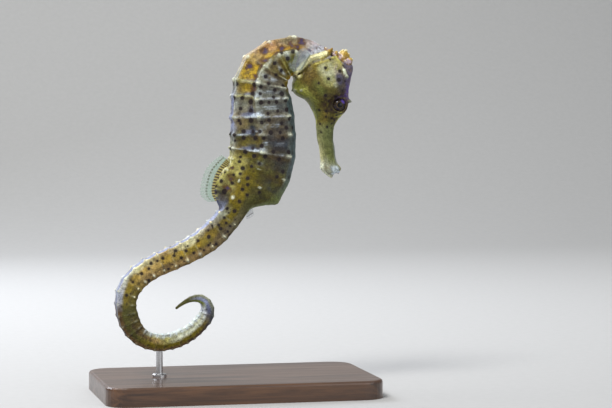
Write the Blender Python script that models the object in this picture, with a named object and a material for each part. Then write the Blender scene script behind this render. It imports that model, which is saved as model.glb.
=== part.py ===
# A seahorse as a still museum model on a small display stand.
# Lengths below are millimetres; objects are made in metres, +Z up.
# The body's mid plane is XZ, the animal faces +X and its right side faces -Y.
import math

import bmesh
import bpy
import numpy as np

for old in list(bpy.data.objects):
    bpy.data.objects.remove(old)

MM = 0.001
GAP = 0.3                    # width of each parting cut

# ---------------------------------------------------------------- materials


def material(name, colour, roughness, metallic=0.0):
    mat = bpy.data.materials.new(name)
    mat.use_nodes = True
    node = mat.node_tree.nodes["Principled BSDF"]
    node.inputs["Base Color"].default_value = (*colour, 1.0)
    node.inputs["Roughness"].default_value = roughness
    node.inputs["Metallic"].default_value = metallic
    mat.diffuse_color = (*colour, 1.0)
    return mat


TRUNK_SKIN = material("skin_trunk", (0.30, 0.25, 0.13), 0.5)
NECK_SKIN = material("skin_neck", (0.42, 0.26, 0.10), 0.5)
TAIL_SKIN = material("skin_tail", (0.46, 0.34, 0.12), 0.5)
HEAD_SKIN = material("skin_head", (0.35, 0.29, 0.14), 0.5)
SNOUT_SKIN = material("skin_snout", (0.42, 0.38, 0.25), 0.45)
CROWN_SKIN = material("skin_coronet", (0.55, 0.42, 0.18), 0.5)
FIN = material("fin_membrane", (0.40, 0.48, 0.42), 0.35)
EYE = material("eye", (0.06, 0.03, 0.10), 0.12)
WOOD = material("stand_wood", (0.09, 0.045, 0.022), 0.42)
STEEL = material("stand_steel", (0.62, 0.62, 0.63), 0.28, 1.0)

# ------------------------------------------------------------- small helpers


def smooth_curve(x, knots, column=1):
    """Monotone cubic through a column of a table of knots."""
    table = np.array(knots, float)
    xk, yk = table[:, 0], table[:, column]
    h, d = np.diff(xk), np.diff(yk) / np.diff(xk)
    m = np.zeros(len(xk))
    m[0], m[-1] = d[0], d[-1]
    for i in range(1, len(xk) - 1):
        if d[i - 1] * d[i] > 0:
            a, b = 2 * h[i] + h[i - 1], h[i] + 2 * h[i - 1]
            m[i] = (a + b) / (a / d[i - 1] + b / d[i])
    x = np.clip(np.asarray(x, float), xk[0], xk[-1])
    i = np.clip(np.searchsorted(xk, x, side="right") - 1, 0, len(h) - 1)
    t = (x - xk[i]) / h[i]
    return ((2 * t**3 - 3 * t**2 + 1) * yk[i] + (t**3 - 2 * t**2 + t) * h[i] * m[i]
            + (3 * t**2 - 2 * t**3) * yk[i + 1] + (t**3 - t**2) * h[i] * m[i + 1])


def step(x, low, high):
    t = min(1.0, max(0.0, (x - low) / (high - low)))
    return t * t * (3 - 2 * t)


def mesh_object(name, points, faces, mat, smooth=False):
    bm = bmesh.new()
    verts = [bm.verts.new([c * MM for c in p]) for p in points]
    for face in faces:
        bm.faces.new([verts[i] for i in face])
    bmesh.ops.recalc_face_normals(bm, faces=bm.faces)
    bmesh.ops.triangulate(bm, faces=[f for f in bm.faces if len(f.verts) > 3])
    mesh = bpy.data.meshes.new(name)
    bm.to_mesh(mesh)
    bm.free()
    mesh.materials.append(mat)
    obj = bpy.data.objects.new(name, mesh)
    bpy.context.scene.collection.objects.link(obj)
    return obj


def loft(name, rings, mat):
    """Closed solid through rings of equal point counts, with flat ends."""
    n = len(rings[0])
    points = [p for ring in rings for p in ring]
    faces = []
    for k in range(len(rings) - 1):
        for i in range(n):
            j = (i + 1) % n
            faces.append((k * n + i, k * n + j, (k + 1) * n + j, (k + 1) * n + i))
    last = (len(rings) - 1) * n
    for base, ring in ((0, rings[0]), (last, rings[-1])):
        hub = len(points)
        points.append(np.mean(np.array(ring), axis=0))
        for i in range(n):
            faces.append((hub, base + i, base + (i + 1) % n))
    return mesh_object(name, points, faces, mat)


def cut(obj, cutter):
    mod = obj.modifiers.new("cut", "BOOLEAN")
    mod.operation, mod.solver, mod.object = "DIFFERENCE", "EXACT", cutter
    depsgraph = bpy.context.evaluated_depsgraph_get()
    done = bpy.data.meshes.new_from_object(obj.evaluated_get(depsgraph))
    obj.modifiers.clear()
    obj.data = done
    bpy.data.objects.remove(cutter)


def ball(name, centre, radius, mat, around=18, down=10):
    points = [(centre[0], centre[1], centre[2] + radius)]
    for k in range(1, down):
        a = math.pi * k / down
        for i in range(around):
            b = 2 * math.pi * i / around
            points.append((centre[0] + radius * math.sin(a) * math.cos(b),
                           centre[1] + radius * math.sin(a) * math.sin(b),
                           centre[2] + radius * math.cos(a)))
    points.append((centre[0], centre[1], centre[2] - radius))
    faces = []
    for i in range(around):
        j = (i + 1) % around
        faces.append((0, 1 + i, 1 + j))
        for k in range(down - 2):
            a, b = 1 + k * around, 1 + (k + 1) * around
            faces.append((a + i, b + i, b + j, a + j))
        end = 1 + (down - 2) * around
        faces.append((len(points) - 1, end + j, end + i))
    return mesh_object(name, points, faces, mat)


# ------------------------------------------------------ the spine of the body
# The skin of a seahorse is drawn over bony rings. Ring edges 0 to 4 belong to
# the neck, 4 to 11 to the trunk and 11 to 47 to the tail.
NECK_RINGS, TAIL_RINGS = 4, 36
NECK_RING = 4.0
TRUNK_RING_LENGTHS = [3.8, 4.7, 4.8, 4.9, 4.7, 4.6, 4.7]
TAIL_RING_FIRST, TAIL_RING_LAST = 4.2, 1.22
NAPE = (19.92, 89.25)        # middle of the joint between head and neck

shrink = (TAIL_RING_LAST / TAIL_RING_FIRST) ** (1 / (TAIL_RINGS - 1))
lengths = ([NECK_RING] * NECK_RINGS + TRUNK_RING_LENGTHS
           + [TAIL_RING_FIRST * shrink**i for i in range(TAIL_RINGS)])
EDGES = np.concatenate([[0.0], np.cumsum(lengths)])
LAST = len(lengths)

# (ring edge, heading of the spine in degrees from +X, seen from the right)
HEADING = [(0, 145.1), (1, 180.3), (2, 211.4), (3, 238.2), (4, 259.7), (5, 271.6),
           (7, 269.9), (9, 247.8), (10, 237.3), (11, 237.9), (12, 234.6), (13, 228.4),
           (14, 221.1), (16, 206.3), (18, 202.4), (20, 213.3), (22, 239.9), (24, 272.3),
           (26, 299.0), (28, 331.4), (30, 355.9), (32, 374.6), (34, 391.0), (36, 405.6),
           (38, 422.1), (40, 472.6), (42, 528.9), (44, 561.1), (47, 579.8)]

# (ring edge, depth to the back, depth to the belly, half width)
GIRTH = [(0, 5.75, 5.05, 4.7), (1, 5.2, 5.4, 4.6), (2, 6.0, 6.2, 4.7), (3, 7.5, 6.7, 4.9),
         (4, 8.15, 7.5, 5.2), (5, 8.8, 8.6, 5.4), (6, 9.15, 9.4, 5.5), (8, 9.15, 9.95, 5.4),
         (9, 8.6, 10.2, 5.2), (10, 8.3, 10.2, 4.8), (10.6, 7.8, 7.0, 4.4), (11.2, 6.7, 3.9, 4.0),
         (11.8, 4.7, 3.6, 3.6), (12.6, 3.45, 3.3, 3.3), (14, 3.6, 3.45, 3.25), (16, 3.35, 3.15, 3.15),
         (18, 3.2, 3.05, 3.05), (20, 3.1, 2.95, 3.0), (22, 3.0, 2.95, 2.95), (23.5, 2.45, 3.1, 2.8),
         (25, 2.15, 3.45, 2.7), (27, 2.0, 3.2, 2.5), (29, 1.85, 2.85, 2.3), (31, 1.65, 2.8, 2.15),
         (33.5, 1.55, 2.75, 2.0), (35, 1.6, 2.45, 1.9), (36.5, 1.65, 2.35, 1.8), (38, 1.85, 2.05, 1.7),
         (39.5, 1.7, 1.65, 1.5), (41.5, 1.45, 0.95, 1.15), (43, 0.95, 0.7, 0.8), (44.5, 0.6, 0.5, 0.55),
         (47, 0.3, 0.3, 0.3)]

FINE = 20
fine_r = np.linspace(0, LAST, LAST * FINE + 1)
fine_s = np.interp(fine_r, np.arange(LAST + 1), EDGES)
fine_a = np.radians(smooth_curve(fine_r, HEADING))
mid_a = (fine_a[1:] + fine_a[:-1]) / 2
fine_x = NAPE[0] + np.concatenate([[0], np.cumsum(np.diff(fine_s) * np.cos(mid_a))])
fine_z = NAPE[1] + np.concatenate([[0], np.cumsum(np.diff(fine_s) * np.sin(mid_a))])


def place(r, across, up):
    """World point at ring r, `across` to +Y and `up` towards the back."""
    x, z, a = (np.interp(r, fine_r, v) for v in (fine_x, fine_z, fine_a))
    return (x + math.sin(a) * up, across, z - math.cos(a) * up)


# the lengthwise ridges: (ring edge, share of the depth or width)
UPPER_TAIL_RIDGE = [(0, 0.50), (9.6, 0.46), (10.6, 0.36), (11.3, 0.42), (12.0, 0.70), (12.7, 1.0),
                    (47, 1.0)]
SIDE_RIDGE = [(0, 0.22), (3, 0.36), (4.5, 0.38), (5.5, 0.33), (7, 0.20), (9, 0.15), (10.5, 0.05),
              (12.4, -0.08), (14, 0.0), (47, 0.0)]


def section(r, swell=1.0, knob=0.0):
    """Half of the cross section as (across, up), from the back to the belly."""
    back, belly, wide = (float(smooth_curve(r, GIRTH, c)) for c in (1, 2, 3))
    tail = step(r, 9.8, 12.3)            # the back ridges of the trunk fade out
    under = step(r, 10.6, 12.4)          # the keel turns into the tail's flat belly
    square = 0.86 * wide
    ridge_a = (0.5 * wide * (1 - tail) + 0.26 * wide * tail, back)
    ridge_b = (0.84 * wide * (1 - tail) + square * tail,
               float(smooth_curve(r, UPPER_TAIL_RIDGE)) * back)
    side_up = float(smooth_curve(r, SIDE_RIDGE)) * (back if r < 11 else wide)
    ridge_c = (wide, side_up)
    ridge_d = (0.74 * wide * (1 - under) + square * under,
               -belly * (0.72 * (1 - under) + 1.0 * under))
    top = (0.0, back - 0.45 * (1 - tail) - 0.04 * back * tail)
    keel = (0.0, -belly + 0.06 * belly * under)

    def between(p, q, out):
        m = ((p[0] + q[0]) / 2, (p[1] + q[1]) / 2)
        size = math.hypot(*m) or 1.0
        return (m[0] * (1 + out / size), m[1] * (1 + out / size))

    hollow = 0.12 * min(1.0, wide / 3)
    strength = {"a": 1 - tail, "b": step(r, 9.6, 10.4), "c": 1 - step(r, 11.5, 13),
                "d": 1.0}

    def raised(p, share):
        size = math.hypot(*p)
        return (p[0] * (1 + knob * share / size), p[1] * (1 + knob * share / size))

    half = [top, raised(ridge_a, strength["a"]), between(ridge_a, ridge_b, 0.02 - hollow),
            raised(ridge_b, strength["b"]), between(ridge_b, ridge_c, 0.3 * (1 - tail) - hollow),
            raised(ridge_c, strength["c"]), between(ridge_c, ridge_d, 0.75 * (1 - under) - hollow),
            raised(ridge_d, strength["d"]), between(ridge_d, keel, 0.35 * (1 - under)), keel]
    return [(p[0] * swell, p[1] * swell) for p in half]


def ring_points(r, swell=1.0, knob=0.0):
    half = section(r, swell, knob)
    both = [(u, v) for u, v in half] + [(-u, v) for u, v in half[-2:0:-1]]
    return [place(r, u, v) for u, v in both]


def at_length(r, shift):
    """Ring coordinate that lies `shift` millimetres further along the spine."""
    s = np.interp(r, fine_r, fine_s) + shift
    return float(np.interp(s, fine_s, fine_r))


def body_length(name, first, last, mat):
    """One length of the ringed body between two ring coordinates."""
    start = at_length(first, GAP / 2)
    end = at_length(last, -GAP / 2) if last < LAST else last
    stations = [(start, None), (end, None)]
    per_ring = (0.0, 0.25, 0.5, 0.75) if last <= 12 else (0.0, 0.5)
    for k in range(int(first), int(last) + 1):
        for part in per_ring:
            if start + 0.05 < k + part < end - 0.05:
                stations.append((k + part, part))
    rings = []
    for r, part in sorted(stations, key=lambda pair: pair[0]):
        near = abs(r - round(r)) < 0.06
        size = float(smooth_curve(r, GIRTH, 3))
        knob = 0.42 * min(1.0, size / 4.5) if near else 0.0
        plump = min(1.0, size / 3.0)
        swell = 1.0 - (0.025 if near else 0.05) * plump
        if r < 3.5:                      # rings crowd together inside the bend
            swell = 0.985 if near else 0.97
        rings.append(ring_points(r, swell, knob))
    return loft(name, rings, mat)


LENGTHS = [("neck_front", 0, 2, NECK_SKIN),
           ("neck_back", 2, 4, NECK_SKIN),
           ("trunk_upper", 4, 7.5, TRUNK_SKIN),
           ("trunk_lower", 7.5, 11.5, TRUNK_SKIN),
           ("tail_base", 11.5, 16.5, TAIL_SKIN),
           ("tail_upper", 16.5, 20.5, TAIL_SKIN),
           ("tail_bend", 20.5, 24.5, TAIL_SKIN),
           ("tail_lower", 24.5, 28.5, TAIL_SKIN),
           ("tail_foot", 28.5, 33.5, TAIL_SKIN),
           ("tail_rise", 33.5, 38.5, TAIL_SKIN),
           ("tail_hook", 38.5, 41.5, TAIL_SKIN),
           ("tail_tip", 41.5, 47, TAIL_SKIN)]
for name, first, last, mat in LENGTHS:
    body_length(name, first, last, mat)

# -------------------------------------------------------------- head and snout
# (station, x and z of its middle, tilt of its upright line, half depth,
#  half width, squareness); station 0 is the nape, 9 the root of the snout
HEAD = [(0, 20.1, 89.5, 56, 5.33, 4.7, 2.20),
        (1, 21.2, 87.9, 42, 6.47, 5.2, 2.20),
        (2, 22.6, 86.4, 33, 7.58, 5.7, 2.25),
        (3, 24.65, 84.35, 24, 8.72, 6.1, 2.30),
        (4, 25.05, 81.95, 19, 7.38, 6.3, 2.35),
        (5, 25.7, 79.95, 14, 5.85, 5.9, 2.35),
        (6, 26.3, 78.0, 11, 5.20, 5.1, 2.30),
        (7, 26.4, 76.1, 8, 4.45, 4.4, 2.25),
        (8, 26.0, 74.3, 3, 3.58, 3.6, 2.20),
        (9, 25.6, 72.9, 1, 2.84, 2.8, 2.10),
        (10, 25.2, 71.2, 0, 2.41, 2.3, 2.10),
        (11, 25.2, 68.5, 0, 2.19, 1.9, 2.10),
        (12, 25.7, 65.8, 0, 2.11, 1.8, 2.10),
        (13, 26.05, 63.2, 0, 2.13, 1.7, 2.10),
        (14, 26.35, 61.6, 1, 2.35, 1.8, 2.10),
        (15, 26.7, 60.4, 2, 2.82, 1.9, 2.10),
        (16, 27.35, 59.3, 12, 2.28, 1.6, 2.10),
        (17, 28.05, 58.25, 30, 1.28, 1.0, 2.10)]
SNOUT_ROOT, MOUTH = 9, 17


def head_ring(i, grow=0.0, shift=0.0, n=22):
    x, z, tilt, deep, wide, power = (float(smooth_curve(i, HEAD, c)) for c in range(1, 7))
    a = math.radians(tilt)
    deep, wide = deep + grow, wide + grow
    points = []
    for k in range(n):
        t = 2 * math.pi * k / n
        u = wide * math.copysign(abs(math.sin(t)) ** (2 / power), math.sin(t))
        v = deep * math.copysign(abs(math.cos(t)) ** (2 / power), math.cos(t))
        # the line across the skull runs from throat to crown at `tilt`
        points.append((x + math.cos(a) * v + math.sin(a) * shift, u,
                       z + math.sin(a) * v - math.cos(a) * shift))
    return points


def head_stations(first, last, per):
    count = int(round((last - first) * per)) + 1
    return list(np.linspace(first, last, count))


skull = [head_ring(i, shift=GAP / 2 if i == 0 else 0.0) for i in head_stations(0, SNOUT_ROOT - 1, 2)]
skull.append(head_ring(SNOUT_ROOT - 0.45))
skull.append(head_ring(SNOUT_ROOT, shift=-GAP / 2))
head = loft("head", skull, HEAD_SKIN)

tube = [head_ring(SNOUT_ROOT, shift=GAP / 2), head_ring(SNOUT_ROOT + 0.5)]
tube += [head_ring(i) for i in head_stations(SNOUT_ROOT + 1, MOUTH, 2)]
loft("snout", tube, SNOUT_SKIN)

# eyes: balls in sockets a little wider than they are
EYE_RADIUS, EYE_OUT, EYE_AT, SOCKET = 2.0, 3.1, (28.13, 77.4), 0.25
for side, sign in (("right", -1), ("left", 1)):
    centre = (EYE_AT[0], sign * EYE_OUT, EYE_AT[1])
    cut(head, ball("socket", centre, EYE_RADIUS + SOCKET, HEAD_SKIN))
    ball("eye_" + side, centre, EYE_RADIUS, EYE)

# ------------------------------------------------------------------- coronet
# A low crown over the back of the skull, with blunt points in a star.
# (station along the head, degrees from the mid line, height)
CROWN_POINTS = [(1.1, 34, 0.7), (1.6, 27, 1.2), (1.95, 4, 0.8), (2.18, 11, 2.2), (2.42, 3, 1.6),
                (2.62, 17, 0.9)]
CROWN_FROM, CROWN_TO, CROWN_HALF = 0.45, 3.1, 42.0


def crown_height(i, t):
    height = 0.6
    for at, angle, tall in CROWN_POINTS:
        for side in (angle, -angle):
            d2 = ((i - at) / 0.24) ** 2 + ((t - side) / 8.5) ** 2
            height = max(height, 0.5 + tall * math.exp(-d2))
    rim = min(1.0, (i - CROWN_FROM) / 0.25, (CROWN_TO - i) / 0.25, (CROWN_HALF - abs(t)) / 9)
    return 0.25 + (height - 0.25) * max(0.0, rim)


def on_skull(i, degrees, lift):
    x, z, tilt, deep, wide, power = (float(smooth_curve(i, HEAD, c)) for c in range(1, 7))
    a, t = math.radians(tilt), math.radians(degrees)
    u = wide * math.copysign(abs(math.sin(t)) ** (2 / power), math.sin(t))
    v = deep * math.cos(t) ** (2 / power)
    nu, nv = u / wide**2, v / deep**2
    size = math.hypot(nu, nv)
    u, v = u + lift * nu / size, v + lift * nv / size
    return (x + math.cos(a) * v, u, z + math.sin(a) * v)


rows, cols = 18, 15
crown_points, crown_faces = [], []
for layer in (0, 1):
    for p in range(rows):
        i = CROWN_FROM + (CROWN_TO - CROWN_FROM) * p / (rows - 1)
        for q in range(cols):
            t = CROWN_HALF * (2 * q / (cols - 1) - 1)
            lift = GAP if layer == 0 else GAP + crown_height(i, t)
            crown_points.append(on_skull(i, t, lift))
one = rows * cols
for p in range(rows - 1):
    for q in range(cols - 1):
        a, b = p * cols + q, p * cols + q + 1
        c, d = a + cols, b + cols
        crown_faces.append((a, b, d, c))
        crown_faces.append((one + a, one + c, one + d, one + b))
edge = ([(0, q) for q in range(cols)] + [(p, cols - 1) for p in range(1, rows)]
        + [(rows - 1, q) for q in range(cols - 2, -1, -1)] + [(p, 0) for p in range(rows - 2, 0, -1)])
for k in range(len(edge)):
    (p0, q0), (p1, q1) = edge[k], edge[(k + 1) % len(edge)]
    a, b = p0 * cols + q0, p1 * cols + q1
    crown_faces.append((b, a, one + a, one + b))
mesh_object("coronet", crown_points, crown_faces, CROWN_SKIN)

# ---------------------------------------------------------------------- fins


def plate(name, grid, normal, thick_root, thick_edge, mat):
    """A thin closed plate over a grid of points; rows go from root to margin."""
    rows, cols = len(grid), len(grid[0])
    normal = np.array(normal) / np.linalg.norm(normal)
    points = []
    for sign in (1, -1):
        for p in range(rows):
            half = (thick_root + (thick_edge - thick_root) * p / (rows - 1)) / 2
            for q in range(cols):
                points.append(np.array(grid[p][q]) + sign * half * normal)
    faces = []
    one = rows * cols
    for p in range(rows - 1):
        for q in range(cols - 1):
            a, b = p * cols + q, p * cols + q + 1
            faces.append((a, b, b + cols, a + cols))
            faces.append((one + a, one + a + cols, one + b + cols, one + b))
    edge = ([(0, q) for q in range(cols)] + [(p, cols - 1) for p in range(1, rows)]
            + [(rows - 1, q) for q in range(cols - 2, -1, -1)]
            + [(p, 0) for p in range(rows - 2, 0, -1)])
    for k in range(len(edge)):
        (p0, q0), (p1, q1) = edge[k], edge[(k + 1) % len(edge)]
        a, b = p0 * cols + q0, p1 * cols + q1
        faces.append((b, a, one + a, one + b))
    return mesh_object(name, points, faces, mat)


DORSAL_FROM, DORSAL_TO, DORSAL_HEIGHT, DORSAL_RAYS = 9.3, 11.75, 5.0, 18
grid = []
for p in range(5):
    row = []
    for q in range(DORSAL_RAYS + 1):
        t = q / DORSAL_RAYS
        r = DORSAL_FROM + (DORSAL_TO - DORSAL_FROM) * t
        root = place(r, 0.0, section(r)[0][1] + GAP)
        lean = math.radians(140 + 44 * step(t, -0.1, 0.9))
        tall = DORSAL_HEIGHT * (0.50 + 0.44 * step(t, -0.05, 0.5) + 0.06 * t)
        tall *= p / 4
        row.append((root[0] + math.cos(lean) * tall, 0.0, root[2] + math.sin(lean) * tall))
    grid.append(row)
plate("dorsal_fin", grid, (0, 1, 0), 0.62, 0.5, FIN)

ANAL_FROM, ANAL_TO, ANAL_HEIGHT = 11.05, 11.4, 1.7
grid = []
for p in range(4):
    row = []
    for q in range(6):
        t = q / 5
        r = ANAL_FROM + (ANAL_TO - ANAL_FROM) * t
        root = place(r, 0.0, section(r)[-1][1] - GAP)
        lean = math.radians(-75 - 22 * t)
        tall = ANAL_HEIGHT * (1 - 0.25 * (2 * t - 1) ** 4) * p / 3
        row.append((root[0] + math.cos(lean) * tall, 0.0, root[2] + math.sin(lean) * tall))
    grid.append(row)
plate("anal_fin", grid, (0, 1, 0), 0.55, 0.5, FIN)

PECTORAL_HEIGHT, PECTORAL_RAYS = 3.9, 10
for side, sign in (("right", -1), ("left", 1)):
    low, high = np.array((17.6, 0.0, 87.0)), np.array((19.9, 0.0, 90.6))
    out, flare = sign * 5.7, math.radians(14)
    grid = []
    for p in range(4):
        row = []
        for q in range(PECTORAL_RAYS + 1):
            t = q / PECTORAL_RAYS
            root = low + (high - low) * t
            lean = math.radians(196 - 62 * t)
            tall = PECTORAL_HEIGHT * (1 - 0.28 * (2 * t - 1) ** 4) * p / 3
            row.append((root[0] + math.cos(lean) * tall * math.cos(flare),
                        out + sign * tall * math.sin(flare),
                        root[2] + math.sin(lean) * tall * math.cos(flare)))
        grid.append(row)
    plate("pectoral_fin_" + side, grid, (0, 1, 0), 0.55, 0.5, FIN)

# --------------------------------------------------------------------- stand
BASE_LONG, BASE_WIDE, BASE_TALL, BASE_CORNER, BEVEL = 74.0, 44.0, 5.0, 6.0, 0.8


def rounded(long, wide, corner, z, per=8):
    points = []
    for cx, cy, start in ((1, 1, 0), (-1, 1, 90), (-1, -1, 180), (1, -1, 270)):
        for k in range(per + 1):
            a = math.radians(start + 90 * k / per)
            points.append((cx * (long / 2 - corner) + corner * math.cos(a),
                           cy * (wide / 2 - corner) + corner * math.sin(a), z))
    return points


levels = [(0.0, 0.0)]
for k in range(4):
    a = math.radians(90 * k / 3)
    levels.append((BEVEL * (1 - math.cos(a)), BASE_TALL - BEVEL + BEVEL * math.sin(a)))
base = [rounded(BASE_LONG - 2 * d, BASE_WIDE - 2 * d, BASE_CORNER - d, z) for d, z in levels]
loft("stand_base", base, WOOD)

ROD_RADIUS, COLLAR_RADIUS, COLLAR_TALL = 0.9, 1.9, 0.8
lowest = min(range(LAST * FINE + 1),
             key=lambda k: fine_z[k] - float(smooth_curve(fine_r[k], GIRTH, 1)))
ROD_X, ROD_TOP = float(fine_x[lowest]), 11.9


def disc(radius, z, n=24):
    return [(ROD_X + radius * math.cos(2 * math.pi * k / n),
             radius * math.sin(2 * math.pi * k / n), z) for k in range(n)]


loft("stand_rod", [disc(COLLAR_RADIUS, BASE_TALL), disc(COLLAR_RADIUS, BASE_TALL + COLLAR_TALL - 0.2),
                   disc(COLLAR_RADIUS - 0.2, BASE_TALL + COLLAR_TALL),
                   disc(ROD_RADIUS, BASE_TALL + COLLAR_TALL), disc(ROD_RADIUS, ROD_TOP)], STEEL)
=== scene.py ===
# %% [markdown]
# # A seahorse on a small stand
# A seahorse wears its skeleton on the outside: bony rings lie just under a thin skin, and four to
# seven long ridges run over them from the neck to the tip of the tail. This lesson dresses a plain
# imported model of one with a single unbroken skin, two eyes, fins with rays, and a small wooden stand.
# Everything is measured in millimetres while it is being shaped, and turned into metres when a mesh
# is made, because an animal of this size is easier to think about in millimetres.

import math

import bmesh
import bpy
import numpy as np
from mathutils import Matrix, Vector, kdtree


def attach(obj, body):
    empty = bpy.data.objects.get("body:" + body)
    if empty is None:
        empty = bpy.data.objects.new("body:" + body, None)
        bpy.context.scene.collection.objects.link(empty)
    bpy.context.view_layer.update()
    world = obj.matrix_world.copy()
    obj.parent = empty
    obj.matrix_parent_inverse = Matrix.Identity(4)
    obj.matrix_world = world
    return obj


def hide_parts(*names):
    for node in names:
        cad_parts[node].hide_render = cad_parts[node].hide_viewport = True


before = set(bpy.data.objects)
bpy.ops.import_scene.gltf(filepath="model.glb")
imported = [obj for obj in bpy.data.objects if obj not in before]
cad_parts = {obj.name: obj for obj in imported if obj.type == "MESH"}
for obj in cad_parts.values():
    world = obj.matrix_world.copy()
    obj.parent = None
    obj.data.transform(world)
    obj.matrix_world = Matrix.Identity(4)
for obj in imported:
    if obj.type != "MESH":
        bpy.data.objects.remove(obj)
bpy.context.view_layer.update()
MM = 0.001
print("nodes:", ", ".join(sorted(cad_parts)))

# %% [markdown]
# ## The curve of the spine
# The animal's whole pose is one curve in the plane that splits it left from right. It could be drawn
# as a Bezier curve, but rings are how a seahorse is counted, so the curve is given as the direction
# in which the spine runs at certain rings. Walking along it, ring by ring, gives every place on it.

# %% Smooth tables and soft steps
def through(x, table, column=1):
    """A smooth curve through one column of a table, without overshoot."""
    knots = np.array(table, float)
    xk, yk = knots[:, 0], knots[:, column]
    h, d = np.diff(xk), np.diff(yk) / np.diff(xk)
    m = np.zeros(len(xk))
    m[0], m[-1] = d[0], d[-1]
    for i in range(1, len(xk) - 1):
        if d[i - 1] * d[i] > 0:
            a, b = 2 * h[i] + h[i - 1], h[i] + 2 * h[i - 1]
            m[i] = (a + b) / (a / d[i - 1] + b / d[i])
    x = np.clip(np.asarray(x, float), xk[0], xk[-1])
    i = np.clip(np.searchsorted(xk, x, side="right") - 1, 0, len(h) - 1)
    t = (x - xk[i]) / h[i]
    return ((2 * t**3 - 3 * t**2 + 1) * yk[i] + (t**3 - 2 * t**2 + t) * h[i] * m[i]
            + (3 * t**2 - 2 * t**3) * yk[i + 1] + (t**3 - t**2) * h[i] * m[i + 1])


def soft(x, low, high):
    """0 below low, 1 above high, smooth between; low may be the larger one."""
    t = np.clip((np.asarray(x, float) - low) / (high - low), 0, 1)
    return t * t * (3 - 2 * t)


def hump(x, width):
    return np.exp(-(np.asarray(x, float) / width) ** 2)


def mix(a, b, share):
    return a * (1 - share) + b * share


# %% Ring lengths and the heading of the spine
NECK_RING_LENGTHS = [4.0] * 4
TRUNK_RING_LENGTHS = [3.8, 4.7, 4.8, 4.9, 4.7, 4.6, 4.7]
TAIL_RINGS, TAIL_RING_FIRST, TAIL_RING_LAST = 36, 4.2, 1.22
shrink = (TAIL_RING_LAST / TAIL_RING_FIRST) ** (1 / (TAIL_RINGS - 1))
ring_lengths = (NECK_RING_LENGTHS + TRUNK_RING_LENGTHS
                + [TAIL_RING_FIRST * shrink**k for k in range(TAIL_RINGS)])
RING_EDGES = np.concatenate([[0.0], np.cumsum(ring_lengths)])
LAST_RING = len(ring_lengths)
NAPE = (19.92, 89.25)

# (ring edge, heading of the spine in degrees, turning from +X towards +Z)
HEADING = [(0, 145.1), (1, 180.3), (2, 211.4), (3, 238.2), (4, 259.7), (5, 271.6),
           (7, 269.9), (9, 247.8), (10, 237.3), (11, 237.9), (12, 234.6), (13, 228.4),
           (14, 221.1), (16, 206.3), (18, 202.4), (20, 213.3), (22, 239.9), (24, 272.3),
           (26, 299.0), (28, 331.4), (30, 355.9), (32, 374.6), (34, 391.0), (36, 405.6),
           (38, 422.1), (40, 472.6), (42, 528.9), (44, 561.1), (47, 579.8)]

walk_ring = np.linspace(0, LAST_RING, LAST_RING * 20 + 1)
walk_mm = np.interp(walk_ring, np.arange(LAST_RING + 1), RING_EDGES)
walk_turn = np.radians(through(walk_ring, HEADING))
half_way = (walk_turn[1:] + walk_turn[:-1]) / 2
walk_x = NAPE[0] + np.concatenate([[0], np.cumsum(np.diff(walk_mm) * np.cos(half_way))])
walk_z = NAPE[1] + np.concatenate([[0], np.cumsum(np.diff(walk_mm) * np.sin(half_way))])


def beside_spine(ring, across, up):
    """Points `across` to the left and `up` towards the back from the spine at `ring`."""
    x, z, turn = (np.interp(ring, walk_ring, v) for v in (walk_x, walk_z, walk_turn))
    return np.stack([x + np.sin(turn) * up, across + 0 * x, z - np.cos(turn) * up], axis=-1)


print("spine length in mm:", round(float(RING_EDGES[-1]), 1), "over", LAST_RING, "rings")

# %% [markdown]
# ## The cross section
# In the trunk the rings are seven-sided: two ridges on the back, one on each flank, one low on each
# side, and a keel under the belly. In the tail they are almost square. The two plans are joined by
# letting each ridge slide to its new place behind the dorsal fin, as it does on the real animal,
# where the ridges of the tail begin beside those of the trunk.

# %% Depths, widths and the paths of the ridges
# (ring edge, depth to the back, depth to the belly, half width)
GIRTH = [(0, 5.75, 5.05, 4.7), (1, 5.2, 5.4, 4.6), (2, 6.0, 6.2, 4.7), (3, 7.5, 6.7, 4.9),
         (4, 8.15, 7.5, 5.2), (5, 8.8, 8.6, 5.4), (6, 9.15, 9.4, 5.5), (8, 9.15, 9.95, 5.4),
         (9, 8.6, 10.2, 5.2), (10, 8.3, 10.2, 4.8), (10.6, 7.8, 7.0, 4.4), (11.2, 6.7, 3.9, 4.0),
         (11.8, 4.7, 3.6, 3.6), (12.6, 3.45, 3.3, 3.3), (14, 3.6, 3.45, 3.25), (16, 3.35, 3.15, 3.15),
         (18, 3.2, 3.05, 3.05), (20, 3.1, 2.95, 3.0), (22, 3.0, 2.95, 2.95), (23.5, 2.45, 3.1, 2.8),
         (25, 2.15, 3.45, 2.7), (27, 2.0, 3.2, 2.5), (29, 1.85, 2.85, 2.3), (31, 1.65, 2.8, 2.15),
         (33.5, 1.55, 2.75, 2.0), (35, 1.6, 2.45, 1.9), (36.5, 1.65, 2.35, 1.8), (38, 1.85, 2.05, 1.7),
         (39.5, 1.7, 1.65, 1.5), (41.5, 1.45, 0.95, 1.15), (43, 0.95, 0.7, 0.8), (44.5, 0.6, 0.5, 0.55),
         (47, 0.3, 0.3, 0.3)]
UPPER_TAIL_RIDGE = [(0, 0.50), (9.6, 0.46), (10.6, 0.36), (11.3, 0.42), (12.0, 0.70), (12.7, 1.0),
                    (47, 1.0)]
SIDE_RIDGE = [(0, 0.22), (3, 0.36), (4.5, 0.38), (5.5, 0.33), (7, 0.20), (9, 0.15), (10.5, 0.05),
              (12.4, -0.08), (14, 0.0), (47, 0.0)]
CORNERS = 10                 # corners of half a section, from the back to the belly
BACK_RIDGE, TAIL_RIDGE, FLANK_RIDGE, LOW_TAIL_RIDGE, LOW_RIDGE = 1, 3, 5, 6.2, 7


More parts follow.
